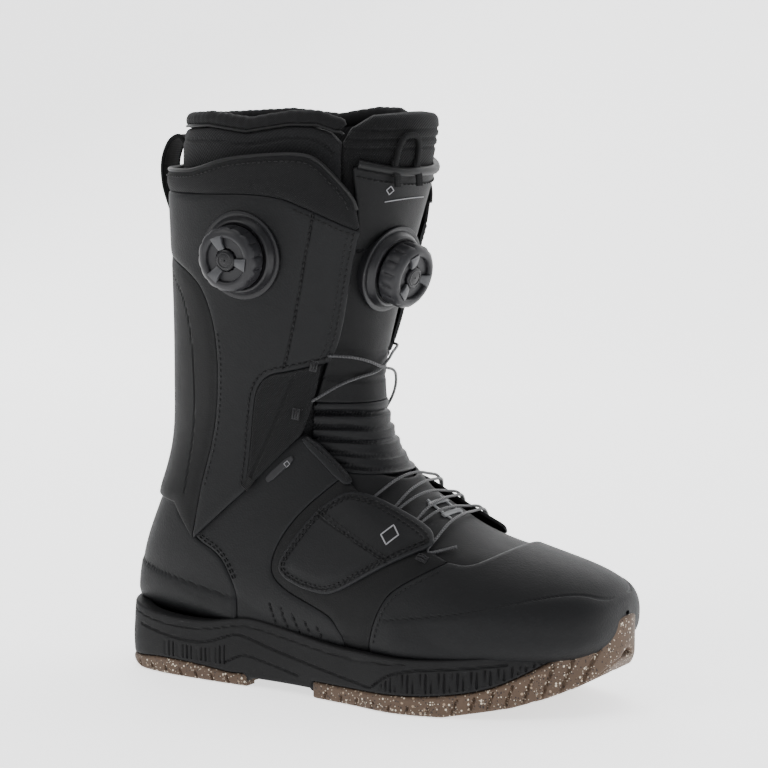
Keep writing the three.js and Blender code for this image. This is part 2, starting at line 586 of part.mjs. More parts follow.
function dialProfiles() {
  const seat = DIAL_BASE_RISE + RUNNING_GAP;
  const top = seat + DIAL_HEIGHT;
  const recess = top - DIAL_RECESS;
  const r = DIAL_RADIUS;
  return {
    base: [[0, -DIAL_FOOT], [DIAL_BASE_RADIUS, -DIAL_FOOT], [DIAL_BASE_RADIUS, DIAL_BASE_RISE - 2],
      [DIAL_BASE_RADIUS - 2, DIAL_BASE_RISE], [SPOOL_RADIUS + RUNNING_GAP, DIAL_BASE_RISE],
      [SPOOL_RADIUS + RUNNING_GAP, SPOOL_FLOOR - RUNNING_GAP], [0, SPOOL_FLOOR - RUNNING_GAP]],
    spool: [[STEM_BORE, SPOOL_FLOOR], [SPOOL_RADIUS, SPOOL_FLOOR], [SPOOL_RADIUS,
      SPOOL_FLOOR + SPOOL_HEIGHT - RUNNING_GAP],
      [STEM_BORE, SPOOL_FLOOR + SPOOL_HEIGHT - RUNNING_GAP], [STEM_BORE, SPOOL_FLOOR]],
    knob: [[STEM_BORE, seat], [r, seat], [r + 0.8, seat + 3], [r, top - 3], [r - 2.5, top],
      [DIAL_CORE_RADIUS + RUNNING_GAP, top], [DIAL_CORE_RADIUS + RUNNING_GAP, recess], [STEM_BORE, recess],
      [STEM_BORE, seat]],
    core: [[0, SPOOL_FLOOR], [DIAL_STEM_RADIUS, SPOOL_FLOOR], [DIAL_STEM_RADIUS, recess + RUNNING_GAP],
      [DIAL_CORE_RADIUS, recess + RUNNING_GAP], [DIAL_CORE_RADIUS, top - 1], [0, top - 1]],
  };
}

function dial(prefix, s, angle, seat) {
  const place = surfaceFrame(s, angle, seat);
  const profiles = dialProfiles();
  const put = (name, segments, skinMaterial) => {
    add(`${prefix}_${name}`, lathe(profiles[name], segments).applyMatrix4(place), skinMaterial);
  };
  const base = toSolid(lathe(profiles.base, 24).applyMatrix4(place));
  add(`${prefix}_base`, base.subtract(lastSolid(seat + SEAM_GAP)), dialPlastic);
  put('spool', 16, guidePlastic);
  put('knob', 24, dialRubber);
  put('core', 12, dialAccent);
}

const SIDE_DIAL = [15.95, 92];
const TONGUE_DIAL = [14.2, 8];

function buildDials() {
  dial('side_dial', ...SIDE_DIAL, CUFF_TOP);
  dial('tongue_dial', ...TONGUE_DIAL, -TONGUE_INSET);
}

// ---------- inside ----------
function buildInside() {
  const cavity = lastSolid(-LINER_INSET - LINER_FOOT_WALL - SEAM_GAP, 2.6, TOP, LINER_COLUMNS);
  add('footbed', cavity.intersect(across([[0, 20], [0, FOOTBED_TOP], [272, FOOTBED_TOP], [272, 20]])),
    board);
  const sheet = skin(-TONGUE_INSET + SEAM_GAP, -TONGUE_INSET + SEAM_GAP + GUIDE_PLATE);
  const patch = [[180, 90], [222, 70], [226, 112], [186, 132]];
  add('instep_guide', sheet.intersect(across(patch, -8, 8)), greyGuide);
}

buildSole();
buildFoot();
buildTongue();
buildCuff();
buildLiner();
buildEdges();
buildPullTab();
buildPullLoop();
buildLaces();
buildDials();
buildInside();

// The origin is under the middle of the boot, at the height of the ground.
const bounds = new THREE.Box3().setFromObject(boot);
boot.position.set(-(bounds.min.x + bounds.max.x) / 2, -(bounds.min.y + bounds.max.y) / 2, -bounds.min.z);
boot.updateMatrixWorld(true);

export default boot;
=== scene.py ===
"""A tall soft snowboard boot: leather, rubber, foam, lacing and dials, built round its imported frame."""
import json
import math

import bpy
import numpy as np
from mathutils import Matrix, Vector
from mathutils.kdtree import KDTree


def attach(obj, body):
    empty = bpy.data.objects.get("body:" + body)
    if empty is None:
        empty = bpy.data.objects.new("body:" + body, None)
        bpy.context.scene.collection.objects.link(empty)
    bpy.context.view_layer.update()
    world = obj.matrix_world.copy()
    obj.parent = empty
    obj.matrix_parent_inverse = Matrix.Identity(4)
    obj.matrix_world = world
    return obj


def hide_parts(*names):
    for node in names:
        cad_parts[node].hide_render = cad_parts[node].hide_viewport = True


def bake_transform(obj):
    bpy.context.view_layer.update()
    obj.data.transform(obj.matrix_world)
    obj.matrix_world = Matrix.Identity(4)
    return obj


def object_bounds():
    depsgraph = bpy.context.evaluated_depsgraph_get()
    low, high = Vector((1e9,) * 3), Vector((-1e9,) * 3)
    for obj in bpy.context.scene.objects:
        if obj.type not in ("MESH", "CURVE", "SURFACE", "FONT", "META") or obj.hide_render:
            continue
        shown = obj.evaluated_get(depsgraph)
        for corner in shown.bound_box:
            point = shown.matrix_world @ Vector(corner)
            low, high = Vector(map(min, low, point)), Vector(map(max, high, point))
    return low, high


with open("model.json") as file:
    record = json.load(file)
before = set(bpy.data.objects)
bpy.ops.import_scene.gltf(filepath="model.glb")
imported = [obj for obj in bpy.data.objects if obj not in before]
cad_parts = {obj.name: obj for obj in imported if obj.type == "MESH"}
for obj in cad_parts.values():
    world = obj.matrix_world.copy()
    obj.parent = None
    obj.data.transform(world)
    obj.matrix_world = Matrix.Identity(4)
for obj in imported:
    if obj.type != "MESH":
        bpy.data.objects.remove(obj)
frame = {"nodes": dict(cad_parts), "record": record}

bl_info = {
    "name": "Snowboard Boot",
    "version": (1, 0, 0),
    "blender": (4, 5, 0),
    "location": "View3D > Sidebar > Boot",
    "description": "Builds a soft snowboard boot piece by piece",
    "category": "Add Mesh",
}

CAD_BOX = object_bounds()
MM = 0.001
# From the pattern's millimetres to the frame: heel to toe, across, and up.
PATTERN_SHIFT = np.array([CAD_BOX[1].x / MM - 303.0, 7.821, 0.0])
SEAM = 0.35

# ---------------------------------------------------------------- the last
# Front x, z; back or bottom x, z; half width; share of the depth before the widest place; roundness of
# the front and of the back; sideways shift of the middle. One row for each station, from toe to top.
STATIONS = np.array([
    [300, 54, 300, 52, 2, 0.55, 2.2, 2.6, 13],
    [299, 62, 299, 39, 22, 0.55, 2.2, 3.0, 12],
    [291, 71, 290, 31, 38, 0.58, 2.2, 3.2, 10],
    [273, 78, 268, 27, 48, 0.60, 2.2, 3.4, 7],
    [247, 85, 238, 25, 54, 0.62, 2.2, 3.6, 3],
    [220, 94, 203, 25, 57, 0.62, 2.2, 3.6, -1],
    [197, 106, 165, 26, 55, 0.64, 2.2, 3.6, -2],
    [179, 120, 125, 27, 50, 0.64, 2.2, 3.4, -2],
    [167, 136, 85, 28, 46, 0.62, 2.2, 3.0, -1],
    [160, 152, 42, 29, 44, 0.58, 2.2, 2.5, 0],
    [158, 167, 1, 33, 43, 0.54, 2.2, 2.15, 0],
    [158, 182, 1, 62, 43, 0.52, 2.2, 1.95, 0],
    [161, 198, 16, 94, 44, 0.50, 2.2, 1.9, 0],
    [165, 215, 29, 126, 46, 0.50, 2.2, 1.95, 0],
    [169, 232, 31, 157, 49, 0.50, 2.2, 2.1, 0],
    [174, 249, 33, 190, 52, 0.50, 2.2, 2.2, 0],
    [179, 266, 33, 223, 55, 0.50, 2.2, 2.2, 0],
    [184, 282, 32, 255, 57, 0.50, 2.2, 2.2, 0],
    [188, 295, 31, 285, 58, 0.50, 2.2, 2.2, 0],
    [191, 309, 32, 313, 58, 0.50, 2.2, 2.2, 0],
    [193, 323, 34, 341, 56, 0.50, 2.2, 2.2, 0],
], float)
TOP = len(STATIONS) - 1
HALF_COLUMNS = 124
ROW_STEP = 0.08
DENSE = 90                      # samples in a quarter of a section, to space its columns evenly


def stations(s):
    """The smoothed station row at each place s along the boot."""
    rows = np.vstack([2 * STATIONS[0] - STATIONS[1], STATIONS, 2 * STATIONS[-1] - STATIONS[-2],
                      3 * STATIONS[-1] - 2 * STATIONS[-2]])
    i = np.clip(np.floor(s).astype(int), 0, TOP - 1)
    u = (s - i)[..., None]
    return ((1 - u) ** 3 * rows[i] + (3 * u ** 3 - 6 * u ** 2 + 4) * rows[i + 1]
            + (-3 * u ** 3 + 3 * u ** 2 + 3 * u + 1) * rows[i + 2] + u ** 3 * rows[i + 3]) / 6


def last_point(s, angle, offset=0.0):
    """A point of the last in pattern millimetres: angle 0 is the front, 90 the outer side, 180 the back."""
    s, angle, offset = np.broadcast_arrays(np.asarray(s, float), np.asarray(angle, float), offset)
    fx, fz, bx, bz, half, share, round_front, round_back, middle = np.moveaxis(stations(s), -1, 0)
    depth = np.hypot(bx - fx, bz - fz)
    ax, az = (bx - fx) / np.maximum(depth, 1e-6), (bz - fz) / np.maximum(depth, 1e-6)
    c, n = np.cos(np.radians(angle)), np.sin(np.radians(angle))
    power = 2 / np.where(c >= 0, round_front, round_back)
    reach = np.maximum(np.where(c >= 0, share, 1 - share) * depth + offset, 0.4)
    width = np.maximum(half + offset, 0.4)
    forward = reach * np.sign(c) * np.abs(c) ** power
    side = width * np.sign(n) * np.abs(n) ** power
    tip = offset * np.maximum(0, 1 - s / 2)
    return np.stack([fx + ax * (share * depth - forward) + tip, middle - side,
                     fz + az * (share * depth - forward)], -1)


def unit(v):
    return v / np.maximum(np.linalg.norm(v, axis=-1, keepdims=True), 1e-9)


def on_last(s, angle, offset=0.0):
    """Points and outward normals of the last."""
    up = last_point(np.asarray(s, float) + 0.1, angle, offset) - last_point(np.asarray(s, float) - 0.1, angle, offset)
    turn = last_point(s, np.asarray(angle, float) + 2, offset) - last_point(s, np.asarray(angle, float) - 2, offset)
    return last_point(s, angle, offset), unit(np.cross(up, turn))


def even_angles(s):
    """Angles that space the columns of the section at s evenly, first round the outer half, then the inner."""
    t = np.linspace(0, 1, DENSE + 1)
    quarter = 90 * (t - np.sin(2 * math.pi * t) / (2 * math.pi))
    half = np.concatenate([quarter, 90 + quarter[1:]])
    angles = []
    for start in (0, 180):
        dense = half + start
        length = np.linalg.norm(np.diff(last_point(s, dense), axis=0), axis=1)
        along = np.concatenate([[0], np.cumsum(length)])
        even = np.interp(np.linspace(0, along[-1], HALF_COLUMNS + 1), along, dense)
        angles.append(even[:-1] if start == 0 else even)
    return np.concatenate(angles)


def grid_triangles(rows, columns, from_column=0, to_column=None):
    r, c = np.meshgrid(np.arange(rows - 1), np.arange(from_column, to_column or columns - 1), indexing="ij")
    a, b = (r * columns + c).ravel(), (r * columns + c + 1).ravel()
    d, e = a + columns, b + columns
    return np.vstack([np.stack([a, b, d], 1), np.stack([b, e, d], 1)])


def grid_normals(points):
    rows, columns = np.gradient(points, axis=0), np.gradient(points, axis=1)
    return unit(np.cross(rows, columns))


class Surface:
    """A fine grid of points and normals that the pieces are cut from."""

    def __init__(self, points, normals, halves):
        self.grid, self.normal = points, normals
        self.rows, self.columns = points.shape[:2]
        self.flat = np.concatenate([points, normals], -1).reshape(-1, 6)
        self.halves = {name: grid_triangles(self.rows, self.columns, *span) for name, span in halves.items()}
        self.spans = halves
        self.trees = {}

    def locate(self, places, half):
        """Points and normals of the surface seen at side view places x, z."""
        if half not in self.trees:
            first, last = self.spans[half]
            tree = KDTree(self.rows * (last - first + 1))
            for r in range(self.rows):
                for c in range(first, last + 1):
                    x, _, z = self.grid[r, c]
                    tree.insert((x, z, 0), r * self.columns + c)
            tree.balance()
            self.trees[half] = tree
        index = np.array([self.trees[half].find((x, z, 0))[1] for x, z in places])
        r = np.clip(index // self.columns, 1, self.rows - 2)
        c = np.clip(index % self.columns, 1, self.columns - 2)
        p, q = self.grid, self.normal
        du, dv = (p[r + 1, c] - p[r - 1, c]) / 2, (p[r, c + 1] - p[r, c - 1]) / 2
        gap = np.asarray(places) - p[r, c][:, [0, 2]]
        det = du[:, 0] * dv[:, 2] - du[:, 2] * dv[:, 0]
        det = np.where(np.abs(det) < 1e-6, 1e-6, det)
        u = np.clip((gap[:, 0] * dv[:, 2] - gap[:, 1] * dv[:, 0]) / det, -1, 1)[:, None]
        v = np.clip((gap[:, 1] * du[:, 0] - gap[:, 0] * du[:, 2]) / det, -1, 1)[:, None]
        point = p[r, c] + u * du + v * dv
        normal = q[r, c] + u * (q[r + 1, c] - q[r - 1, c]) / 2 + v * (q[r, c + 1] - q[r, c - 1]) / 2
        return point, unit(normal)


def make_last():
    places = np.arange(0, TOP + ROW_STEP / 2, ROW_STEP)
    points = np.stack([last_point(s, even_angles(s)) for s in places])
    normals = grid_normals(points)
    seam = unit(normals[:, 0] + normals[:, -1])
    normals[:, 0] = normals[:, -1] = seam
    if (normals[150, 60] * (points[150, 60] - points[150].mean(0))).sum() < 0:
        normals = -normals
    return Surface(points, normals, {"lateral": (0, HALF_COLUMNS), "medial": (HALF_COLUMNS, 2 * HALF_COLUMNS),
                                     None: (0, 2 * HALF_COLUMNS)})


# ---------------------------------------------------------------- outlines and fields
def soft(line, rounds=3):
    """An open line with its corners rounded and its ends kept."""
    p = np.array(line, float)
    for _ in range(rounds):
        a, b = p[:-1], p[1:]
        p = np.vstack([p[:1], np.stack([0.75 * a + 0.25 * b, 0.25 * a + 0.75 * b], 1).reshape(-1, 2), p[-1:]])
    return p


def soft_loop(line, rounds=3):
    p = np.array(line, float)
    for _ in range(rounds):
        q = np.roll(p, -1, axis=0)
        p = np.stack([0.8 * p + 0.2 * q, 0.2 * p + 0.8 * q], 1).reshape(-1, 2)
    return p


def join(*lines):
    """One closed outline from lines that follow each other."""
    return np.vstack([np.array(line, float) for line in lines])


def apart(line, x, z):
    """How far points lie from an open line in side view."""
    a, d = line[:-1], np.diff(line, axis=0)
    q = np.stack([x, z], -1)[:, None, :] - a
    t = np.clip((q * d).sum(-1) / np.maximum((d * d).sum(-1), 1e-9), 0, 1)
    gap = q - t[..., None] * d
    return np.sqrt((gap * gap).sum(-1).min(1))


def within(loop, x, z):
    (x0, z0), (x1, z1) = loop.T, np.roll(loop, -1, axis=0).T
    crosses = (z0 > z[:, None]) != (z1 > z[:, None])
    rise = np.where(z1 == z0, 1e-9, z1 - z0)
    at = x0 + (z[:, None] - z0) * (x1 - x0) / rise
    return (crosses & (x[:, None] < at)).sum(1) % 2 == 1


def loop_field(loop, x, z):
    """Signed distance from a closed outline, negative inside it."""
    distance = apart(np.vstack([loop, loop[:1]]), x, z)
    return np.where(within(loop, x, z), -distance, distance)


def cut_at(v, t, column, level):
    """Split triangles along the line where one column of the points has a level."""
    value = v[:, column] - level
    above = value > 0
    count = above[t].sum(1)
    mixed = (count == 1) | (count == 2)
    if not mixed.any():
        return v, t
    m = t[mixed]
    lone = above[m] == (count[mixed] == 1)[:, None]
    m = m[np.arange(len(m))[:, None], (lone.argmax(1)[:, None] + np.arange(3)) % 3]
    a, b, c = m.T
    edges = np.sort(np.concatenate([np.stack([a, b], 1), np.stack([a, c], 1)]), axis=1)
    edges, place = np.unique(edges, axis=0, return_inverse=True)
    place = place.ravel()
    w = (value[edges[:, 0]] / (value[edges[:, 0]] - value[edges[:, 1]]))[:, None]
    new = v[edges[:, 0]] * (1 - w) + v[edges[:, 1]] * w
    new[:, column] = level
    ab, ac = len(v) + place[:len(m)], len(v) + place[len(m):]
    return np.vstack([v, new]), np.vstack([t[~mixed], np.stack([a, ab, ac], 1), np.stack([ab, b, c], 1),
                                           np.stack([ab, c, ac], 1)])


def smoothstep(low, high, x):
    t = np.clip((x - low) / (high - low), 0, 1)
    return t * t * (3 - 2 * t)


# ---------------------------------------------------------------- meshes and pieces
def new_object(name, points, faces, material, uv=None, rim=None, in_frame=False, sharp=38):
    """A smooth shaded object from points in pattern millimetres, or in frame metres."""
    mesh = bpy.data.meshes.new(name)
    place = np.asarray(points, float) if in_frame else (np.asarray(points, float) + PATTERN_SHIFT) * MM
    mesh.from_pydata(place.tolist(), [], [list(map(int, face)) for face in faces])
    if uv is not None:
        layer = mesh.uv_layers.new(name="UVMap")
        corners = np.empty(len(mesh.loops), int)
        mesh.loops.foreach_get("vertex_index", corners)
        layer.data.foreach_set("uv", np.asarray(uv, np.float32)[corners].ravel())
    rim = np.ones(len(place)) if rim is None else rim
    mesh.attributes.new("rim", "FLOAT", "POINT").data.foreach_set("value", np.asarray(rim, np.float32))
    mesh.validate()
    mesh.shade_smooth()
    mesh.set_sharp_from_angle(angle=math.radians(sharp))
    mesh.materials.append(material)
    piece = bpy.data.objects.new(name, mesh)
    bpy.context.scene.collection.objects.link(piece)
    return piece


def settle(piece, body, slot, *nodes, blend=None):
    """Hang a piece on its body, or, when it spans two, leave it in place with its transform applied, and hide the
    nodes it stands for.
    """
    if blend:
        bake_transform(piece)
    else:
        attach(piece, body)
    if nodes:
        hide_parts(*nodes)
    return piece


def shell(v, t, low, high):
    """A closed skin: outer and inner copies of a patch, and the wall round its edge."""
    used, flat = np.unique(t, return_inverse=True)
    t = flat.reshape(-1, 3)
    v, low, high = v[used], low[used], high[used]
    a, b, c = (v[t[:, k], :3] for k in range(3))
    flip = (np.cross(b - a, c - a) * v[t[:, 0], 3:6]).sum(1) < 0
    t[flip] = t[flip][:, ::-1]
    area = np.linalg.norm(np.cross(b - a, c - a), axis=1)
    edges = np.concatenate([t[:, [0, 1]], t[:, [1, 2]], t[:, [2, 0]]])
    key = np.sort(edges, axis=1)
    _, first, count = np.unique(key, axis=0, return_index=True, return_counts=True)
    rim = edges[first[count == 1]]
    n = len(v)
    points = np.vstack([v[:, :3] + v[:, 3:6] * high[:, None], v[:, :3] + v[:, 3:6] * low[:, None]])
    wall = np.vstack([np.stack([rim[:, 1], rim[:, 0], rim[:, 0] + n], 1),
                      np.stack([rim[:, 1], rim[:, 0] + n, rim[:, 1] + n], 1)])
    keep = area > 1e-7
    return points, np.vstack([t[keep], t[keep][:, ::-1] + n, wall]), used


def panel(name, surface, outline, layer, material, half=None, edge=1.0, grooves=(), relief=None, margin=2.6,
          plane=(0, 2)):
    """A piece cut from a surface: rounded at its edge, grooved along lines, pushed out by a relief."""
    outline = np.asarray(outline, float)
    v, t = surface.flat, surface.halves[half]
    low, high = outline.min(0) - 4, outline.max(0) + 4
    near = ((v[:, plane] > low) & (v[:, plane] < high)).all(1)
    t = t[near[t].all(1)]
    used, flat = np.unique(t, return_inverse=True)
    v, t = v[used], flat.reshape(-1, 3)
    first, second = v[:, plane[0]], v[:, plane[1]]
    columns = [loop_field(outline, first, second)]
    columns += [np.min([apart(np.asarray(line, float), first, second) for line in lines], axis=0)
                for lines, _, _ in grooves]
    v = np.column_stack([v] + columns)
    t = t[(v[t, 6] < 0).any(1)]
    base, wall = layer
    radius = min(edge, wall)
    for depth in (0.0, 0.12 * edge, 0.45 * edge, edge, max(margin, 2 * edge)):
        v, t = cut_at(v, t, 6, -depth)
    t = t[(v[t, 6] <= 1e-6).all(1)]
    for k, (_, width, _) in enumerate(grooves):
        for share in (1.0, 0.62, 0.3):
            v, t = cut_at(v, t, 7 + k, share * width)
    inner = np.clip(-v[:, 6] / edge, 0, 1)
    top = base + wall - radius + radius * np.sqrt(np.clip(1 - (1 - inner) ** 2, 0, 1))
    for k, (_, width, depth) in enumerate(grooves):
        top = top - depth * (1 - smoothstep(0.2 * width, width, v[:, 7 + k]))
    if relief is not None:
        top = top + relief(v, -v[:, 6])
    top = np.maximum(top, base + 0.2)
    points, faces, used = shell(v, t, np.full(len(v), float(base)), top)
    # rim runs from 0 at the panel's edge to 1 a margin inside; the materials paint paler edges from it, as painted
    # highlight and edge wear.
    rim = np.tile(np.clip(-v[used, 6] / margin, 0, 1), 2)
    return new_object(name, points, faces, material, rim=rim)


def spline(points, count, before=None, after=None):
    """A centripetal curve through points, evenly sampled; before and after steer its ends."""
    p = np.asarray(points, float)
    p = np.vstack([2 * p[0] - p[1] if before is None else before, p, 2 * p[-1] - p[-2] if after is None else after])
    out = []
    for k in range(1, len(p) - 2):
        p0, p1, p2, p3 = p[k - 1:k + 3]
        t1 = max(np.linalg.norm(p1 - p0), 1e-6) ** 0.5
        t2 = t1 + max(np.linalg.norm(p2 - p1), 1e-6) ** 0.5
        t3 = t2 + max(np.linalg.norm(p3 - p2), 1e-6) ** 0.5
        t = np.linspace(t1, t2, 24, endpoint=False)[:, None]
        a1 = (t1 - t) / t1 * p0 + t / t1 * p1
        a2 = (t2 - t) / (t2 - t1) * p1 + (t - t1) / (t2 - t1) * p2
        a3 = (t3 - t) / (t3 - t2) * p2 + (t - t2) / (t3 - t2) * p3
        b1 = (t2 - t) / t2 * a1 + t / t2 * a2
        b2 = (t3 - t) / (t3 - t1) * a2 + (t - t1) / (t3 - t1) * a3
        out.append((t2 - t) / (t2 - t1) * b1 + (t - t1) / (t2 - t1) * b2)
    return evenly(np.vstack(out + [p[-2][None]]), count)


def evenly(points, count):
    """The same line with evenly spaced points."""
    points = np.asarray(points, float)
    along = np.concatenate([[0], np.cumsum(np.linalg.norm(np.diff(points, axis=0), axis=1))])
    place = np.linspace(0, along[-1], count)
    return np.stack([np.interp(place, along, points[:, k]) for k in range(points.shape[1])], 1)


def length_of(points):
    return np.linalg.norm(np.diff(points, axis=0), axis=1).sum()


def oval(width, height, sides=10):
    turn = 2 * math.pi * (np.arange(sides) + 0.5) / sides
    return np.stack([width / 2 * np.cos(turn), height / 2 * np.sin(turn)], 1)


def slab(width, height, bevel=0.4):
    """A flat section with rounded corners."""
    w, h = width / 2, height / 2
    corners = []
    for cx, cz, start in ((w - bevel, h - bevel, 0), (bevel - w, h - bevel, 90), (bevel - w, bevel - h, 180),
                          (w - bevel, bevel - h, 270)):
        for turn in (start + 5, start + 45, start + 85):
            corners.append((cx + bevel * math.cos(math.radians(turn)), cz + bevel * math.sin(math.radians(turn))))
    return np.array(corners)


def sweep(points, ups, section, scale=None, closed=False):
    """Points, faces and texture places of a section carried along a line."""
    points, n, m = np.asarray(points, float), len(points), len(section)
    if closed:
        tangent = unit(np.roll(points, -1, 0) - np.roll(points, 1, 0))
    else:
        tangent = unit(np.gradient(points, axis=0))
    side = unit(np.cross(tangent, ups))
    up = np.cross(side, tangent)
    scale = np.ones(n) if scale is None else np.asarray(scale)
    spread = side[:, None] * section[None, :, :1] + up[:, None] * section[None, :, 1:]
    ring = points[:, None] + spread * scale[:, None, None]
    along = np.concatenate([[0], np.cumsum(np.linalg.norm(np.diff(points, axis=0), axis=1))])
    uv = np.stack(np.broadcast_arrays(along[:, None] / 10, np.arange(m)[None] / m), -1)
    faces = []
    for r in range(n if closed else n - 1):
        for c in range(m):
            a, b = r * m + c, r * m + (c + 1) % m
            d, e = (r + 1) % n * m + c, (r + 1) % n * m + (c + 1) % m
            faces.append((a, b, e, d))
    if not closed:
        faces.append(tuple(range(m))[::-1])
        faces.append(tuple((n - 1) * m + k for k in range(m)))
    return ring.reshape(-1, 3), faces, uv.reshape(-1, 2)


class Bundle:
    """Several small solids that become one object."""

    def __init__(self):
        self.points, self.faces, self.uv, self.count = [], [], [], 0

    def add(self, points, faces, uv=None):
        """Take in one more solid."""
        self.points.append(np.asarray(points, float))
        self.faces.extend(tuple(k + self.count for k in face) for face in faces)
        self.uv.append(np.zeros((len(points), 2)) if uv is None else uv)
        self.count += len(points)

    def sweep(self, *args, **options):
        self.add(*sweep(*args, **options))

    def object(self, name, material, **options):
        return new_object(name, np.vstack(self.points), self.faces, material, uv=np.vstack(self.uv), **options)


def stitches(bundle, points, normals, settings):
    """A row of thread stitches that dip into the leather between their holes."""
    length, gap, radius = settings.stitch_length / MM, settings.stitch_gap / MM, settings.thread_radius / MM
    points = np.asarray(points, float)
    along = np.concatenate([[0], np.cumsum(np.linalg.norm(np.diff(points, axis=0), axis=1))])
    count = int(along[-1] / (length + gap))
    if count < 1:
        return
    step = along[-1] / count
    share = np.array([0.0, 0.2, 0.5, 0.8, 1.0])
    place = (np.arange(count)[:, None] * step + share * (step - gap)).ravel()
    middle = np.stack([np.interp(place, along, points[:, k]) for k in range(3)], 1).reshape(count, 5, 3)
    normal = unit(np.stack([np.interp(place, along, normals[:, k]) for k in range(3)], 1)).reshape(count, 5, 3)
    middle = middle + normal * (radius * np.array([-0.9, 0.35, 0.6, 0.35, -0.9]))[None, :, None]
    tangent = unit(middle[:, -1] - middle[:, 0])[:, None].repeat(5, 1)
    side = np.cross(tangent, normal)
    section = oval(2 * radius, 2 * radius, 6)
    ring = middle[:, :, None] + (side[:, :, None] * section[:, :1] + normal[:, :, None] * section[:, 1:]) \
        * np.array([0.6, 1.0, 1.08, 1.0, 0.6])[None, :, None, None]
    faces = [(r * 6 + c, r * 6 + (c + 1) % 6, (r + 1) * 6 + (c + 1) % 6, (r + 1) * 6 + c)
             for r in range(4) for c in range(6)] + [(5, 4, 3, 2, 1, 0), (24, 25, 26, 27, 28, 29)]
    for k in range(count):
        bundle.add(ring[k].reshape(-1, 3), faces)


# ---------------------------------------------------------------- shader helpers
class Value:
    """A socket of a material, so that shader maths reads as an expression."""

    def __init__(self, paint, socket):
        self.paint, self.socket = paint, socket

    def maths(self, operation, *values):
        return self.paint.node("ShaderNodeMath", {"operation": operation}, dict(enumerate(values)))

    def __add__(self, other):
        return self.maths("ADD", self, other)

    def __sub__(self, other):
        return self.maths("SUBTRACT", self, other)

    def __rsub__(self, other):
        return self.maths("SUBTRACT", other, self)

    def __mul__(self, other):
        return self.maths("MULTIPLY", self, other)

    def __lt__(self, other):
        return self.maths("LESS_THAN", self, other)

    __radd__, __rmul__ = __add__, __mul__

    def sine(self):
        return self.maths("SINE", self)

    def least(self, other):
        return self.maths("MINIMUM", self, other)

    def most(self, other):
        return self.maths("MAXIMUM", self, other)

    def step(self, low, high):
        """0 below low, 1 above high, smooth between."""
        return self.paint.node("ShaderNodeMapRange", {"interpolation_type": "SMOOTHSTEP"},
                               {0: self, 1: low, 2: high, 3: 0.0, 4: 1.0})


class Paint:
    """A material and its one shader."""

    def __init__(self, name, **constants):
        self.material = bpy.data.materials.new(name)
        self.material.use_nodes = True
        self.nodes, self.links = self.material.node_tree.nodes, self.material.node_tree.links
        self.shader = self.nodes["Principled BSDF"]
        for socket, value in constants.items():
            self.shader.inputs[socket.replace("_", " ")].default_value = value

    def node(self, kind, settings=None, sockets=None, out=0):
        """Add a node: its settings first, then the values or links of its sockets."""
        node = self.nodes.new(kind)
        for key, value in (settings or {}).items():
            setattr(node, key, value)
        for key, value in (sockets or {}).items():
            if isinstance(value, Value):
                self.links.new(value.socket, node.inputs[key])
            else:
                node.inputs[key].default_value = value
        return Value(self, node.outputs[out])

    def set(self, **sockets):
        for key, value in sockets.items():
            self.links.new(value.socket, self.shader.inputs[key.replace("_", " ")])
        return self.material

    def place(self, kind="Object"):
        return self.node("ShaderNodeTexCoord", out=kind)

    def axes(self, place):
        """The three numbers of a place."""
        return [self.node("ShaderNodeSeparateXYZ", None, {0: place}, out=k) for k in range(3)]

    def noise(self, place, scale, detail=3.0, rough=0.55):
        return self.node("ShaderNodeTexNoise", None, {"Vector": place, "Scale": scale, "Detail": detail,
                                                      "Roughness": rough}, out="Fac")

    def cells(self, place, scale, out="Distance", feature="F1"):
        return self.node("ShaderNodeTexVoronoi", {"feature": feature}, {"Vector": place, "Scale": scale}, out=out)

    def mix(self, factor, a, b):
        return self.node("ShaderNodeMix", {"data_type": "RGBA"}, {0: factor, 6: a, 7: b}, out=2)

    def rim(self):
        return self.node("ShaderNodeAttribute", {"attribute_name": "rim"}, out="Fac")

    def bump(self, height, depth, strength=1.0):
        return self.node("ShaderNodeBump", None, {"Height": height, "Distance": depth, "Strength": strength})


def tone(colour, factor=1.0):
    return tuple(min(1.0, c * factor) for c in colour[:3]) + (1.0,)


def leather(name, colour, rough, grain=900.0, wear_and_highlight=1.7):
    """Coated synthetic leather: fine pebbled grain, faint creases, and paler edges that are partly wear and partly
    painted highlight where the edges catch light.
    """
    paint = Paint(name, Specular_IOR_Level=0.17)
    place = paint.place()
    broad = paint.noise(place, 16.0, 2.0)
    creases = paint.noise(place, 95.0, 5.0, 0.62)
    pebbles = paint.cells(place, grain)
    pores = paint.noise(place, grain * 2.1, 2.0)
    edge = (1.0 - paint.rim()) * (0.55 + 0.9 * paint.noise(place, 210.0, 2.0))
    base = paint.mix(broad, tone(colour, 0.86), tone(colour, 1.14))
    flecks = paint.mix(pores.step(0.62, 0.8) * 0.35, base, tone(colour, 1.5))
    # Paler edges: painted highlight along the edges that catch light, mixed with edge wear.
    worn_and_lit_edges = paint.mix((edge * edge * 0.75).least(0.85), flecks, tone(colour, wear_and_highlight))
    roughness = rough + 0.10 * (creases - 0.5) + 0.12 * (pores - 0.5) - 0.05 * edge
    height = pebbles * 0.55 + creases * 0.9 + pores * 0.3
    return paint.set(Base_Color=worn_and_lit_edges, Roughness=roughness, Normal=paint.bump(height, 0.00022, 0.75))


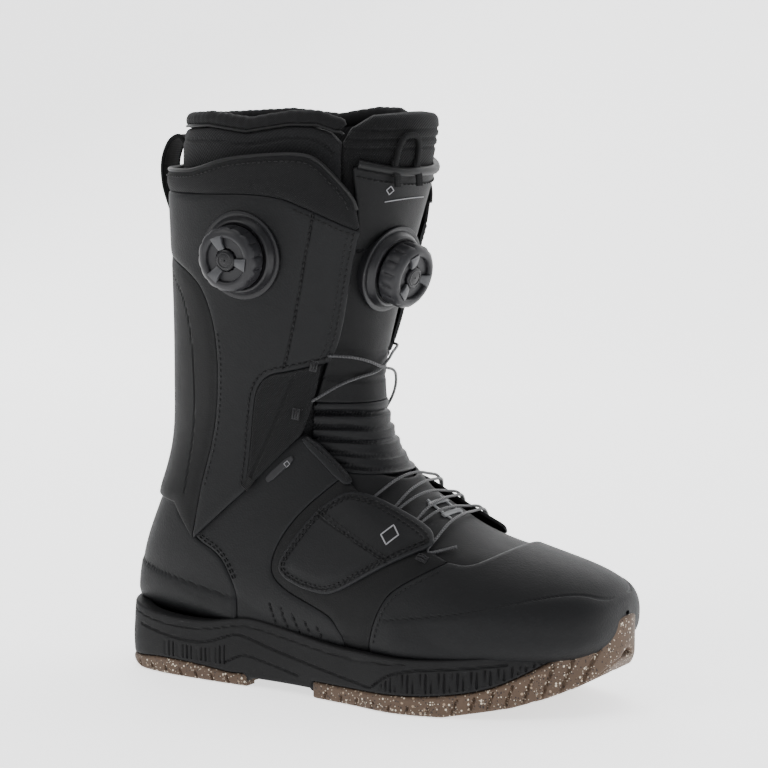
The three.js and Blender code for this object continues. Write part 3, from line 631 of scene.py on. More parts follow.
def weave(name, colour, rough, pitch=0.9, lift=0.00025, tilt=0.5):
    """Woven cloth: crossing threads with fuzz, drawn on three axes so that it follows every side."""
    paint = Paint(name, Specular_IOR_Level=0.15, Sheen_Weight=0.03, Sheen_Roughness=0.6)
    place = paint.place()
    x, y, z = paint.axes(place)
    turns = 2 * math.pi / (pitch * MM)
    warp = ((x + y * tilt) * turns).sine()
    weft = ((z + y * (1 - tilt)) * turns).sine()
    threads = (warp * weft) * 0.5 + 0.5
    fuzz = paint.noise(place, 2600.0, 2.0)
    broad = paint.noise(place, 22.0, 3.0)
    base = paint.mix(broad, tone(colour, 0.8), tone(colour, 1.2))
    lit = paint.mix(threads * 0.6 + 0.25 * fuzz, tone(colour, 0.55), base)
    # Paler edges: painted highlight where the edges catch light, with some edge wear.
    worn_and_lit_edges = paint.mix((1.0 - paint.rim()) * 0.35, lit, tone(colour, 1.7))
    return paint.set(Base_Color=worn_and_lit_edges, Roughness=rough + 0.12 * (fuzz - 0.5),
                     Normal=paint.bump(threads + fuzz * 0.5, lift, 0.8))


def webbing_cloth(name, colour, rough=0.8):
    """Flat woven tape with ribs along its length."""
    paint = Paint(name, Specular_IOR_Level=0.18)
    u, v, _ = paint.axes(paint.place("UV"))
    ribs = (u * (2 * math.pi * 8)).sine() * 0.5 + 0.5
    rows = (v * (2 * math.pi * 24)).sine() * 0.5 + 0.5
    fuzz = paint.noise(paint.place(), 2200.0, 2.0)
    lit = paint.mix(ribs * rows * 0.7 + 0.3 * fuzz, tone(colour, 0.6), tone(colour, 1.35))
    return paint.set(Base_Color=lit, Roughness=rough + 0.1 * (fuzz - 0.5),
                     Normal=paint.bump(ribs * 0.6 + rows * 0.4 + fuzz * 0.3, 0.00025, 0.8))


def braid(name, colour, rough=0.45):
    """Braided lace: two sets of strands that cross round a thin coated cord."""
    paint = Paint(name, Specular_IOR_Level=0.5)
    u, v, _ = paint.axes(paint.place("UV"))
    left = ((u * 5.5 + v * 2.0) * (2 * math.pi)).sine()
    right = ((u * 5.5 - v * 2.0) * (2 * math.pi)).sine()
    strands = left.most(right)
    lit = paint.mix(strands * 0.5 + 0.5, tone(colour, 0.45), tone(colour, 1.3))
    return paint.set(Base_Color=lit, Roughness=rough + 0.08 * strands, Normal=paint.bump(strands, 0.00025, 0.8))


def moulded(name, colour, rough, texture=0.00006, speck=0.1):
    """Moulded plastic or rubber with a faint eroded texture and handling marks."""
    paint = Paint(name, Specular_IOR_Level=0.24)
    place = paint.place()
    fine, marks = paint.noise(place, 1700.0, 3.0), paint.noise(place, 60.0, 4.0)
    base = paint.mix(marks, tone(colour, 0.85), tone(colour, 1.18))
    # Paler edges: painted highlight where the edges catch light, with some edge wear.
    worn_and_lit_edges = paint.mix((1.0 - paint.rim()) * 0.6, base, tone(colour, 1.8))
    return paint.set(Base_Color=worn_and_lit_edges, Roughness=rough + speck * (marks - 0.5) + 0.06 * (fine - 0.5),
                     Normal=paint.bump(fine, texture, 0.6))


def sole_rubber(name, colour):
    """Rubber ground up with cream, rust and dark crumbs."""
    paint = Paint(name, Specular_IOR_Level=0.4)
    place = paint.place()
    shade = paint.noise(place, 30.0, 3.0)
    base = paint.mix(shade, tone(colour, 0.8), tone(colour, 1.2))
    for scale, share, crumb in ((620.0, 0.12, (0.55, 0.48, 0.38, 1)), (720.0, 0.22, (0.02, 0.014, 0.012, 1)),
                                (480.0, 0.09, (0.26, 0.19, 0.13, 1)), (1100.0, 0.13, (0.45, 0.39, 0.31, 1)),
                                (900.0, 0.2, (0.03, 0.02, 0.016, 1))):
        warped = paint.node("ShaderNodeVectorMath", {"operation": "ADD"}, {0: place, 1: (scale, 0.0, scale)})
        pick = paint.cells(warped, scale, out="Color")
        red, _, _ = paint.axes(pick)
        close = 1.0 - paint.cells(warped, scale).step(0.30, 0.42)
        base = paint.mix((red < share) * close, base, crumb)
    grit = paint.noise(place, 1500.0, 3.0)
    return paint.set(Base_Color=base, Roughness=0.72 + 0.2 * (grit - 0.5), Normal=paint.bump(grit, 0.00012, 0.7))


def foam(name, colour, rough=0.7):
    """Moulded foam with fine pores."""
    paint = Paint(name, Specular_IOR_Level=0.2)
    place = paint.place()
    pores, broad = paint.cells(place, 1300.0), paint.noise(place, 26.0, 3.0)
    base = paint.mix(broad, tone(colour, 0.85), tone(colour, 1.15))
    # Paler edges: painted highlight where the edges catch light, with some edge wear.
    worn_and_lit_edges = paint.mix((1.0 - paint.rim()) * 0.5, base, tone(colour, 1.6))
    return paint.set(Base_Color=worn_and_lit_edges, Roughness=rough + 0.12 * (broad - 0.5),
                     Normal=paint.bump(pores + paint.noise(place, 2100.0), 0.00013, 0.6))


def brushed(name, colour):
    paint = Paint(name, Metallic=1.0)
    place = paint.place()
    stretched = paint.node("ShaderNodeMapping", None, {"Vector": place, "Scale": (30.0, 900.0, 900.0)})
    marks = paint.noise(stretched, 1.0, 4.0)
    return paint.set(Base_Color=paint.mix(marks, tone(colour, 0.85), tone(colour, 1.1)), Roughness=0.3 + 0.2 * marks)


MATERIALS = {}


def make_materials(b):
    black, shell, cloth = b.leather_colour, b.overlay_colour, b.textile_colour
    MATERIALS.update(
        leather=leather("boot_leather", black, 0.58),
        overlay=leather("boot_overlay_leather", shell, 0.54, grain=1100.0, wear_and_highlight=2.2),
        dark_leather=leather("boot_dark_panel", tone(black, 0.45), 0.62, grain=1300.0, wear_and_highlight=2.0),
        collar_cloth=weave("boot_collar_cloth", tone(cloth, 1.25), 0.85, pitch=1.1),
        textile=weave("boot_ballistic_cloth", cloth, 0.8, pitch=1.4, lift=0.0003),
        liner_cloth=weave("liner_knit", tone(cloth, 0.95), 0.9, pitch=1.7, lift=0.0004, tilt=0.8),
        liner_inset=weave("liner_inset_cloth", tone(cloth, 1.9), 0.85, pitch=2.2, lift=0.0004, tilt=0.3),
        piping=moulded("edge_piping", tone(black, 0.55), 0.5),
        tongue=leather("tongue_shell", tone(shell, 0.62), 0.60, grain=1500.0, wear_and_highlight=1.5),
        flex=leather("tongue_flex_rubber", tone(shell, 0.9), 0.52, grain=1500.0, wear_and_highlight=1.4),
        webbing=webbing_cloth("woven_tape", tone(cloth, 0.8)),
        thread=moulded("bonded_thread", tone(black, 0.3), 0.6, texture=0.0001),
        label=moulded("woven_label", (0.012, 0.012, 0.013, 1), 0.7),
        mark=moulded("printed_mark", (0.22, 0.22, 0.23, 1), 0.5),
        lace=braid("braided_lace", b.lace_colour),
        guide=moulded("guide_plastic", (0.012, 0.012, 0.013, 1), 0.42),
        grey_guide=moulded("grey_guide_plastic", (0.20, 0.205, 0.21, 1), 0.5),
        dial=moulded("dial_plastic", (0.009, 0.009, 0.010, 1), 0.34),
        grip=moulded("dial_grip_rubber", (0.013, 0.013, 0.0145, 1), 0.42),
        hub=moulded("dial_hub_plastic", (0.005, 0.005, 0.006, 1), 0.28),
        accent=moulded("dial_spoke_plastic", (0.045, 0.046, 0.049, 1), 0.34),
        midsole=foam("midsole_foam", b.midsole_colour),
        rubber=sole_rubber("speckled_rubber", b.rubber_colour),
        board=foam("fibre_board", (0.10, 0.088, 0.07, 1), 0.85),
        steel=brushed("shank_steel", (0.55, 0.56, 0.58, 1)),
        footbed=weave("footbed_cloth", tone(cloth, 2.4), 0.9, pitch=1.6),
    )


# ---------------------------------------------------------------- pattern lines, side view x and z
HEEL_SEAM = soft([[46, 99], [60, 80], [77, 73], [85, 60], [89, 49], [88, 15]])
THROAT = soft([[129, 143], [157, 117], [185, 98], [221, 82]], 2)
TOE_SEAM = soft([[221, 82], [197, 68], [189, 59], [182, 43], [175, 15]])
TONGUE_EDGE = soft([[221, 82], [232, 80], [241, 85], [250, 92], [250, 110]], 2)
DARK_EDGE = soft([[152, 121.6], [125, 97], [111, 72], [117, 60], [148, 50], [159, 45], [168, 15]])
INSERT_EDGE = soft([[96, 111], [101, 152], [105, 170], [113, 177], [120, 178], [142, 184]])
CUFF_FRONT = soft([[142, 184], [148, 197], [155, 227], [160, 246], [163, 256]])
LEATHER_TOP = soft([[163, 256], [144, 267], [122, 276], [67, 274], [-20, 274]])
FLAP_TOP = soft([[-20, 286], [61, 286], [75, 288], [94, 294], [126, 297], [141, 297], [148, 294], [155, 286],
                 [162, 275], [163, 268]])
BACK_LINE = soft([[67, 112], [79, 149], [83, 205], [65, 236], [-20, 246]])
INSERT_FRONT = soft([[138, 183], [134, 166], [129, 149], [127, 143]])
STRAP = [[161, 117], [216, 91], [192, 80], [157, 59], [139, 60], [125, 64], [119, 69], [121, 77], [141, 104]]
MEDIAL_STRAP = [[157, 105], [210, 79], [192, 73], [157, 59], [139, 60], [125, 64], [119, 69], [121, 77], [141, 98]]
EYESTAY = [[161, 117], [217, 91], [213, 80.5], [158, 106.5]]
ANKLE_BAND = [[125, 140], [131, 143], [160, 118], [152, 117]]
LABEL = [[106, 118], [121, 132], [124, 129], [109, 115]]
FRONT_LINES = [[142, 184], [148, 197], [155, 227], [160, 246], [163, 257], [164, 268]]

# Sole: half widths along its length, how far its middle bends sideways, and its side view lines.
SOLE_PLAN = [[0, 0], [4, 21], [14, 34], [36, 42], [70, 45.5], [120, 47.5], [165, 53.5], [200, 58.5],
             [235, 55.5], [262, 47], [284, 34], [297, 19], [303, 0]]
SOLE_BEND = np.array([[0, 0], [100, 0], [200, -2], [303, 14]], float)
MIDSOLE_TOP = soft([[-5, 39], [15, 37], [31, 34], [64, 33], [85, 37], [97, 39], [119, 36], [152, 31], [178, 30],
                    [213, 30], [246, 33], [267, 37], [284, 41], [292, 43]], 2)
RUBBER_TOP = soft([[290, 41], [285, 37], [277, 31], [262, 22], [246, 15], [222, 11], [204, 10], [172, 9],
                   [142, 9]], 2)
TREAD = [[142, 0], [225, 0], [258, 6], [274, 11], [286, 16], [295, 21], [302, 30], [306, 45], [306, 53],
         [298, 50]]
HEEL_TOP = soft([[-5, 5], [20, 7.5], [38, 9.5], [68, 8], [85, 6], [96, 7]], 2)
MIDSOLE_GROOVES = [
    (soft([[19, 26], [45, 22], [67, 21], [87, 29], [94, 29], [119, 22], [182, 12], [184, 13], [199, 24], [234, 27],
           [257, 30]], 2), 1.1, 0.9),
    (soft([[81, 12], [94, 18], [98, 18], [132, 11]], 2), 1.0, 0.8),
]

MADE = {}


def bend(x):
    return np.interp(x, SOLE_BEND[:, 0], SOLE_BEND[:, 1])


def plan_line(sign, count=300):
    """One side of the sole seen from above, heel to toe."""
    points = [[x, bend(x) + sign * w] for x, w in SOLE_PLAN]
    return spline(points, count, before=[4, bend(4) - sign * 21], after=[297, bend(297) - sign * 19])


WALL_COLUMNS = 250
WALL_ROWS = np.arange(0.0, 63.0, 1.15)


def make_wall():
    """The upright side of the sole, as a surface."""
    outer, inner = plan_line(-1, WALL_COLUMNS + 1), plan_line(1, WALL_COLUMNS + 1)[::-1]
    loop = np.vstack([outer[:-1], inner])
    tangent = np.gradient(loop, axis=0)
    tangent[0] = tangent[-1] = [0, -1]
    normal = unit(np.stack([tangent[:, 1], -tangent[:, 0]], 1))
    points = np.stack([np.column_stack([loop, np.full(len(loop), z)]) for z in WALL_ROWS])
    normals = np.broadcast_to(np.column_stack([normal, np.zeros(len(normal))]), points.shape).copy()
    return Surface(points, normals, {"lateral": (0, WALL_COLUMNS), "medial": (WALL_COLUMNS, 2 * WALL_COLUMNS),
                                     None: (0, 2 * WALL_COLUMNS)})


BOTTOM_LINE = np.array([[0, 4], [2, 4], [18, 0], [96, 0], [97, 5], [141, 5], [142, 0], [225, 0], [258, 6],
                        [274, 11], [286, 16], [295, 21], [302, 30], [306, 42]], float)


def make_bottom(line):
    """The underside, as a surface that faces down."""
    xs, ys = np.arange(-1, 305, 1.9), np.arange(-62.0, 78.0, 1.9)
    x, y = np.meshgrid(xs, ys, indexing="ij")
    z = np.interp(x, line[:, 0], line[:, 1])
    slope = np.gradient(np.interp(xs, line[:, 0], line[:, 1]), xs)[:, None] + 0 * y
    normals = unit(np.stack([slope, 0 * x, -np.ones_like(x)], -1))
    return Surface(np.stack([x, y, z], -1), normals, {None: (0, len(ys) - 1)})


def surfaces():
    if not MADE:
        MADE["last"], MADE["wall"] = make_last(), make_wall()
    return MADE["last"], MADE["wall"]


def flare(points, normals):
    """How far the foot shell swells, low down, to stand flush with the top of the sole."""
    out = np.zeros(len(points))
    low = np.flatnonzero(points[:, 2] < 62)
    plan = np.vstack([plan_line(-1, 50), plan_line(1, 50)[::-1]])
    for part in np.array_split(low, max(1, len(low) // 4000)):
        x, y, z = points[part].T
        level = np.hypot(normals[part, 0], normals[part, 1])
        gap = np.where(within(plan, x, y), apart(plan, x, y), 0.0)
        out[part] = np.clip(gap - 2.4, 0, 5) * smoothstep(62, 38, z) * level
    return out


def skin(swell, run):
    """A relief that meets the sole low down and swells from the edge of its panel."""
    return lambda v, depth: flare(v[:, :3], v[:, 3:6]) + swell * smoothstep(0, run, depth)


def ribs(from_x, to_x, pitch, low, high, lean=0.0):
    """Short upright grooves side by side."""
    return [[[x, low(x)], [x + lean, high(x)]] for x in np.arange(from_x, to_x, pitch)]


# ---------------------------------------------------------------- the sole
def build_sole(b):
    _, wall = surfaces()
    m = MATERIALS
    rubber_top = lambda x: float(np.interp(x, RUBBER_TOP[::-1, 0], RUBBER_TOP[::-1, 1]))
    groove_top = lambda x: float(np.interp(x, [188, 199, 234, 276], [16, 24, 27, 33])) - 2.2
    heel = join([[-5, 4], [2, 4], [18, 0], [96, 0]], HEEL_TOP[::-1])
    settle(panel("heel_rubber_side", wall, heel, (-9, 9), m["rubber"], edge=1.6,
                 grooves=[([[[x, 0], [x - 2, 4.2]] for x in range(8, 96, 11)], 1.0, 1.6)]),
           "lower", "rubber_brown", "outsole_heel")
    toe = join(TREAD, RUBBER_TOP)
    sipes = [[[x, rubber_top(x) - 22], [x + 7, rubber_top(x + 7) - 2.5]] for x in range(226, 290, 9)]
    settle(panel("forefoot_rubber_side", wall, toe, (-9, 9), m["rubber"], edge=1.8,
                 grooves=[([np.array(line) for line in sipes], 1.0, 1.5),
                          ([[[x, 0], [x + 2, 4.5]] for x in range(150, 226, 11)], 1.0, 1.5)]),
           "lower", "rubber_brown", "outsole_forefoot")
    lift = RUBBER_TOP + [-SEAM, SEAM]
    core = join(HEEL_TOP + [0, SEAM], [[97, 5], [141, 5]], lift[::-1], MIDSOLE_TOP[::-1])
    heel_ribs = ribs(39, 84, 3.3, lambda x: 11.5, lambda x: np.interp(x, [39, 67, 84], [19.5, 18, 22]))
    toe_ribs = ribs(190, 275, 3.3, lambda x: rubber_top(x) + 2.4, groove_top, 0.6)

    def sculpt(v, depth):
        """The midsole swells gently between its grooves and draws in at its top."""
        z = v[:, 2]
        return -0.9 * smoothstep(26, 42, z) + 0.5 * np.sin(np.clip((z - 6) / 20, 0, 1) * math.pi)

    settle(panel("midsole_side", wall, core, (-9, 8.6), m["midsole"], edge=1.3, relief=sculpt,
                 grooves=[([line], width, depth) for line, width, depth in MIDSOLE_GROOVES]
                 + [(heel_ribs, 0.9, 1.0), (toe_ribs, 0.9, 1.0),
                    ([soft([[12, 33], [36, 29], [64, 28.5], [88, 33.5], [97, 34.5], [121, 31], [152, 26.5],
                            [178, 25.5], [205, 27.5]], 2)], 0.8, 0.6)]),
           "lower", "midsole_foam", "midsole")
    bottom = make_bottom(BOTTOM_LINE)
    left, right = plan_line(-1), plan_line(1)

    def plan(x0, x1, inset):
        a = left[(left[:, 0] >= x0) & (left[:, 0] <= x1)]
        c = right[(right[:, 0] >= x0) & (right[:, 0] <= x1)]
        loop = np.vstack([a, c[::-1]])
        middle = np.column_stack([loop[:, 0], bend(loop[:, 0])])
        return loop + unit(middle - loop) * inset

    chevrons = lambda x0, x1, pitch: [soft([[x - 9, -60 + bend(x)], [x, -16 + bend(x)], [x + 7, bend(x)],
                                            [x, 16 + bend(x)], [x - 9, 60 + bend(x)]], 1)
                                      for x in np.arange(x0, x1, pitch)]
    spine = [[[x0, bend(x0)], [x1, bend(x1)]] for x0, x1 in ((14, 90), (148, 286))]
    ring = [np.vstack([plan(4, 94, 8)]), np.vstack([plan(146, 294, 8)])]
    for name, x0, x1, rows in (("heel_tread", 1, 95.5, chevrons(12, 92, 13)),
                               ("forefoot_tread", 142.5, 301, chevrons(156, 292, 13))):
        settle(panel(name, bottom, plan(x0, x1, 1.2), (-6, 6), m["rubber"], edge=1.4, plane=(0, 1),
                     grooves=[(rows, 1.7, 3.2), ([spine[0] if x0 < 100 else spine[1]], 1.5, 2.4),
                              ([ring[0] if x0 < 100 else ring[1]], 1.2, 1.8)]),
               "lower", "rubber_brown")
    settle(panel("arch_underside", bottom, plan(96, 142, 0.8), (-5, 5), m["midsole"], edge=1.2, plane=(0, 1),
                 grooves=[([[[x, -60], [x, 60]] for x in range(102, 140, 6)], 1.0, 0.9)]),
           "lower", "midsole_foam")
    for node, look in (("shank", "steel"), ("insole_board", "board"), ("footbed", "footbed")):
        thing = frame["nodes"][node]
        thing.data.materials.clear()
        thing.data.materials.append(m[look])


# ---------------------------------------------------------------- the foot
THREADS = {}


def sew(body, line, half, offset, b, double=0.0):
    """One or two rows of stitching along a side view line."""
    last, _ = surfaces()
    bundle = THREADS.setdefault(body, Bundle())
    line = np.asarray(line, float)
    for shift in ((0.0,) if not double else (-double / 2, double / 2)):
        dense = evenly(line, max(int(length_of(line) / 1.2), 3))
        tangent = unit(np.gradient(dense, axis=0))
        dense = dense + np.stack([-tangent[:, 1], tangent[:, 0]], 1) * shift
        points, normals = last.locate(dense, half)
        lift = offset + (flare(points, normals) if body == "lower" else 0.0)
        stitches(bundle, points + normals * np.broadcast_to(lift, len(points))[:, None], normals, b)


def inset_line(line, inset):
    """A line moved sideways in side view; positive goes to its left."""
    line = np.asarray(line, float)
    tangent = unit(np.gradient(line, axis=0))
    return line + np.stack([-tangent[:, 1], tangent[:, 0]], 1) * inset


def inset_loop(loop, inset):
    """A closed outline drawn in by a distance."""
    loop = np.asarray(loop, float)
    tangent = unit(np.roll(loop, -1, 0) - np.roll(loop, 1, 0))
    area = (loop[:, 0] * np.roll(loop[:, 1], -1) - np.roll(loop[:, 0], -1) * loop[:, 1]).sum()
    return loop + np.sign(area) * np.stack([-tangent[:, 1], tangent[:, 0]], 1) * inset


SHELL = (-2.2, 2.2)
OVERLAY = (0.2, 1.95)
CUFF = (0.9, 2.2)
BAND = (0.2, 1.1)            # flat bands that the ankle insert slides over
INSERT = (2.7, 1.0)
TONGUE = (-5.0, 2.2)
OVERLAY_TOP = sum(OVERLAY)
CUFF_TOP = sum(CUFF)


def build_foot(b):
    last, _ = surfaces()
    m = MATERIALS
    toe = join(TOE_SEAM[::-1], TONGUE_EDGE[1:], [[330, 110], [330, 15]])
    crease = soft([[190, 50], [236, 57], [269, 65], [287, 67], [297, 62]])

    def toe_swell(v, depth):
        """The toe cap lies over the vamp and steps down below its crease."""
        below = np.interp(v[:, 0], crease[:, 0], crease[:, 1]) - v[:, 2]
        return skin(0.5, 2.5)(v, depth) + 0.9 * smoothstep(-2, 3, below) * smoothstep(186, 200, v[:, 0])

    settle(panel("toe_cap_leather", last, toe, SHELL, m["leather"], edge=1.2, relief=toe_swell,
                 grooves=[([crease], 0.8, 0.5)]), "lower", "leather", "toe_cap")
    counter = join([[-30, 110], [46, 107], [50, 91]], HEEL_SEAM[1:], [[-30, 15]])
    heel_band = soft([[-12, 62], [20, 60], [52, 55], [84, 50]], 2)
    settle(panel("heel_counter_leather", last, counter, SHELL, m["leather"], edge=1.2,
                 relief=lambda v, depth: skin(0.45, 2.5)(v, depth)
                 + 0.7 * smoothstep(0, 2, np.interp(v[:, 0], heel_band[:, 0], heel_band[:, 1]) - v[:, 2]),
                 grooves=[([heel_band], 0.8, 0.4)]), "lower", "leather", "heel_counter")
    quarter = join([[46.5, 107], [60, 88], [96, 119], [127, 143], [129, 143]], DARK_EDGE, HEEL_SEAM[1:][::-1],
                   [[50, 91]])
    vamp = join(THROAT[1:], TOE_SEAM[1:], DARK_EDGE[::-1])
    slots = [[[113 + 8.1 * k, 49.5 - 2.1 * k], [115.5 + 8.1 * k, 36.5 - 1.2 * k]] for k in range(5)]
    for half, strap in (("lateral", STRAP), ("medial", MEDIAL_STRAP)):
        settle(panel(f"quarter_leather_{half}", last, quarter, SHELL, m["leather"], half, edge=1.0,
                     relief=skin(0.35, 3),
                     grooves=[(slots, 1.1, 1.3)] if half == "lateral" else []),
               "lower", "matte_leather", f"quarter_{half}")
        settle(panel(f"vamp_cloth_{half}", last, vamp, SHELL, m["dark_leather"], half, edge=0.9,
                     relief=lambda v, depth: skin(0.5, 6)(v, depth) - 0.4),
               "lower", "textile", f"vamp_panel_{half}")
        loop = soft_loop(strap, 3)
        rows = [inset_loop(loop, 3.0)]
        settle(panel(f"instep_strap_leather_{half}", last, loop, OVERLAY, m["overlay"], half, edge=1.1,
                     relief=lambda v, depth: 0.55 * smoothstep(4, 10, depth),
                     grooves=[([np.vstack([rows[0], rows[0][:1]])], 1.0, 0.4),
                              ([soft([[141, 101], [160, 92], [192, 79]], 2)], 1.0, 0.5)]),
               "lower", "leather", f"instep_strap_{half}")
        border = inset_loop(loop, 3.0)
        sew("lower", np.vstack([border, border[:1]]), half, OVERLAY_TOP + 0.12, b, double=1.7)
        sew("lower", soft([[142, 103], [160, 93.5], [190, 80.5]], 2), half, OVERLAY_TOP + 0.5, b, double=2.0)
        sew("lower", inset_line(HEEL_SEAM[6:30], 3.0), half, 0.45, b, double=1.8)
        sew("lower", inset_line(TOE_SEAM[4:30], 3.0), half, 0.45, b)
        band = soft_loop(ANKLE_BAND, 1)
        settle(panel(f"ankle_band_tape_{half}", last, band, BAND, m["overlay"], half, edge=0.8),
               "lower", "webbing", f"ankle_band_{half}")
        edge = soft([[129, 141.5], [143, 131], [157, 118.5]], 2)
        sew("lower", edge, half, sum(BAND) + 0.05, b, double=1.8)
    settle(panel("eyestay_tape_medial", last, soft_loop(EYESTAY, 2), OVERLAY, m["webbing"], "medial", edge=0.8),
           "lower", "webbing", "eyestay_medial")
    settle(panel("side_label", last, soft_loop(LABEL, 1), BAND, m["label"], "lateral", edge=0.5),
           "lower", "webbing", "label_tag")
    marks = Bundle()
    for x, z, r in ((187.0, 92.5, 4.6), (119.5, 126.5, 1.8)):
        draw_diamond(marks, x, z, r, OVERLAY_TOP + 0.62 if r > 3 else sum(BAND) + 0.02)
    settle(marks.object("printed_diamonds", m["mark"]), "lower", "leather")


def diamond(count):
    """Places round a diamond of radius one."""
    turn = np.linspace(0, 2 * math.pi, count, endpoint=False)
    ring = np.stack([np.cos(turn), np.sin(turn)], 1)
    return ring / np.abs(ring).sum(1, keepdims=True)


def draw_diamond(bundle, x, z, radius, offset, half="lateral"):
    """A thin raised diamond on the upper."""
    last, _ = surfaces()
    points, normals = last.locate(diamond(40) * radius + [x, z], half)
    bundle.sweep(points + normals * offset, normals, slab(radius * 0.16, 0.35, 0.1), closed=True)


# ---------------------------------------------------------------- the cuff
def build_cuff(b):
    last, _ = surfaces()
    m = MATERIALS
    body = join([[60, 80]], INSERT_EDGE, CUFF_FRONT[1:], LEATHER_TOP[1:], [[-20, 246]], BACK_LINE[::-1][1:])
    back = join([[-20, 102], [46, 99], [60, 80.5]], BACK_LINE)
    flap = join(FLAP_TOP, LEATHER_TOP)
    insert = join(INSERT_EDGE[:-1], INSERT_FRONT)
    inner_line = soft([[144, 266], [137, 240], [130, 212], [123, 188], [120.5, 181]], 2)
    front_row = inset_line(CUFF_FRONT, 3.4)
    settle(panel("back_cloth", last, back, CUFF, m["dark_leather"], edge=0.9,
                 relief=lambda v, depth: 0.5 * smoothstep(0, 6, depth) - 0.3,
                 grooves=[([soft([[55, 105], [63, 150], [64, 204], [50, 228], [20, 236]], 2)], 0.9, 0.7)]),
           "cuff", "textile", "back_panel")
    for half in ("lateral", "medial"):
        settle(panel(f"cuff_leather_{half}", last, body, CUFF, m["leather"], half, edge=1.1,
                     relief=lambda v, depth: 0.4 * smoothstep(0, 4, depth),
                     grooves=[([inner_line], 1.1, 0.5), ([inset_line(INSERT_EDGE, 3.2)], 0.9, 0.3)]),
               "cuff", "leather", f"cuff_{half}")
        settle(panel(f"cuff_collar_{half}", last, flap, CUFF, m["collar_cloth"], half, edge=1.2,
                     relief=lambda v, depth: 1.1 * smoothstep(0, 5, depth) - 0.2),
               "cuff", "matte_leather", f"cuff_flap_{half}")
        settle(panel(f"ankle_insert_{half}", last, insert, INSERT, m["textile"], half, edge=0.6,
                     relief=lambda v, depth: -0.35 * smoothstep(0, 3, depth),
                     grooves=[([soft([[99, 118], [125, 176]], 1)], 1.2, 0.8)]),
               "cuff", "textile", f"side_insert_{half}")
        sew("cuff", inner_line, half, CUFF_TOP + 0.25, b)
        sew("cuff", front_row[2:], half, CUFF_TOP + 0.25, b, double=2.2)
        sew("cuff", inset_line(INSERT_EDGE, 3.2)[2:], half, CUFF_TOP + 0.25, b)
        sew("cuff", inset_line(LEATHER_TOP[2:16], 3.0), half, CUFF_TOP + 0.25, b)
        sew("cuff", inset_line(FLAP_TOP[8:], -3.4), half, CUFF_TOP + 0.75, b)
        sew("cuff", inset_line(BACK_LINE[:20], -2.6), half, CUFF_TOP + 0.2, b)
        bartack(half)
    # Piping round the top of the collar.
    edging = Bundle()
    for half in ("lateral", "medial"):
        line = evenly(FLAP_TOP[7:], 120)
        points, normals = last.locate(line, half)
        edging.sweep(points + normals * (CUFF_TOP - 0.6), normals, oval(2.4, 2.4, 8))
    settle(edging.object("collar_piping", m["piping"]), "cuff", "piping")
    build_loop(m)


def bartack(half):
    """A dense block of thread at the foot of the cuff seam."""
    last, _ = surfaces()
    bundle = THREADS.setdefault("cuff", Bundle())
    for k in range(8):
        line = np.array([[93.5 + 0.55 * k, 113.5 + 0.75 * k], [97.5 + 0.55 * k, 110.5 + 0.75 * k]])
        points, normals = last.locate(evenly(line, 6), half)
        bundle.sweep(points + normals * (CUFF_TOP + 0.3), normals, oval(0.8, 0.7, 6))


LOOP_PATH = [[27.9, 238], [27.9, 250], [23, 262], [18, 277], [18, 291], [23, 301], [29, 303.5], [33.5, 298],
             [34.8, 288], [34.8, 276]]


def build_loop(m):
    """The webbing pull loop behind the cuff, with a raised cord along each edge."""
    points = spline([[x, 0, z] for x, z in LOOP_PATH], 90)
    ups = np.gradient(points, axis=0)
    ups = unit(np.stack([-ups[:, 2], 0 * ups[:, 1], ups[:, 0]], 1))
    loop = Bundle()
    loop.sweep(points, ups, slab(18, 2.0, 0.7))
    for side in (-7.6, 7.6):
        loop.sweep(points + [0, side, 0], ups, oval(1.5, 2.9, 8))
    settle(loop.object("rear_loop_tape", m["webbing"]), "cuff", "webbing", "rear_pull_loop")


# ---------------------------------------------------------------- the tongue
FLEX_LOW, FLEX_HIGH, FLEX_MIDDLE = 124, 160, 141
RIM_TOP = 291
RIM_LINE = np.array([[150, RIM_TOP - 1], [164, RIM_TOP - 1], [180, RIM_TOP - 6], [200, RIM_TOP - 6]], float)
TONGUE_INSET = 2.8


def at_height(angle, offset, line):
    """Where the last at an angle and an offset meets a side view line."""
    low, high = np.full(len(angle), 12.0), np.full(len(angle), float(TOP))
    for _ in range(30):
        middle = (low + high) / 2
        p = last_point(middle, angle, offset)
        below = p[:, 2] < np.interp(p[:, 0], line[:, 0], line[:, 1])
        low, high = np.where(below, middle, low), np.where(below, high, middle)
    return on_last((low + high) / 2, angle, offset)


def frame_point(x, z):
    """A side view place as a frame point on the middle plane."""
    return tuple((np.array([x, -7.821, z]) + PATTERN_SHIFT) * MM)


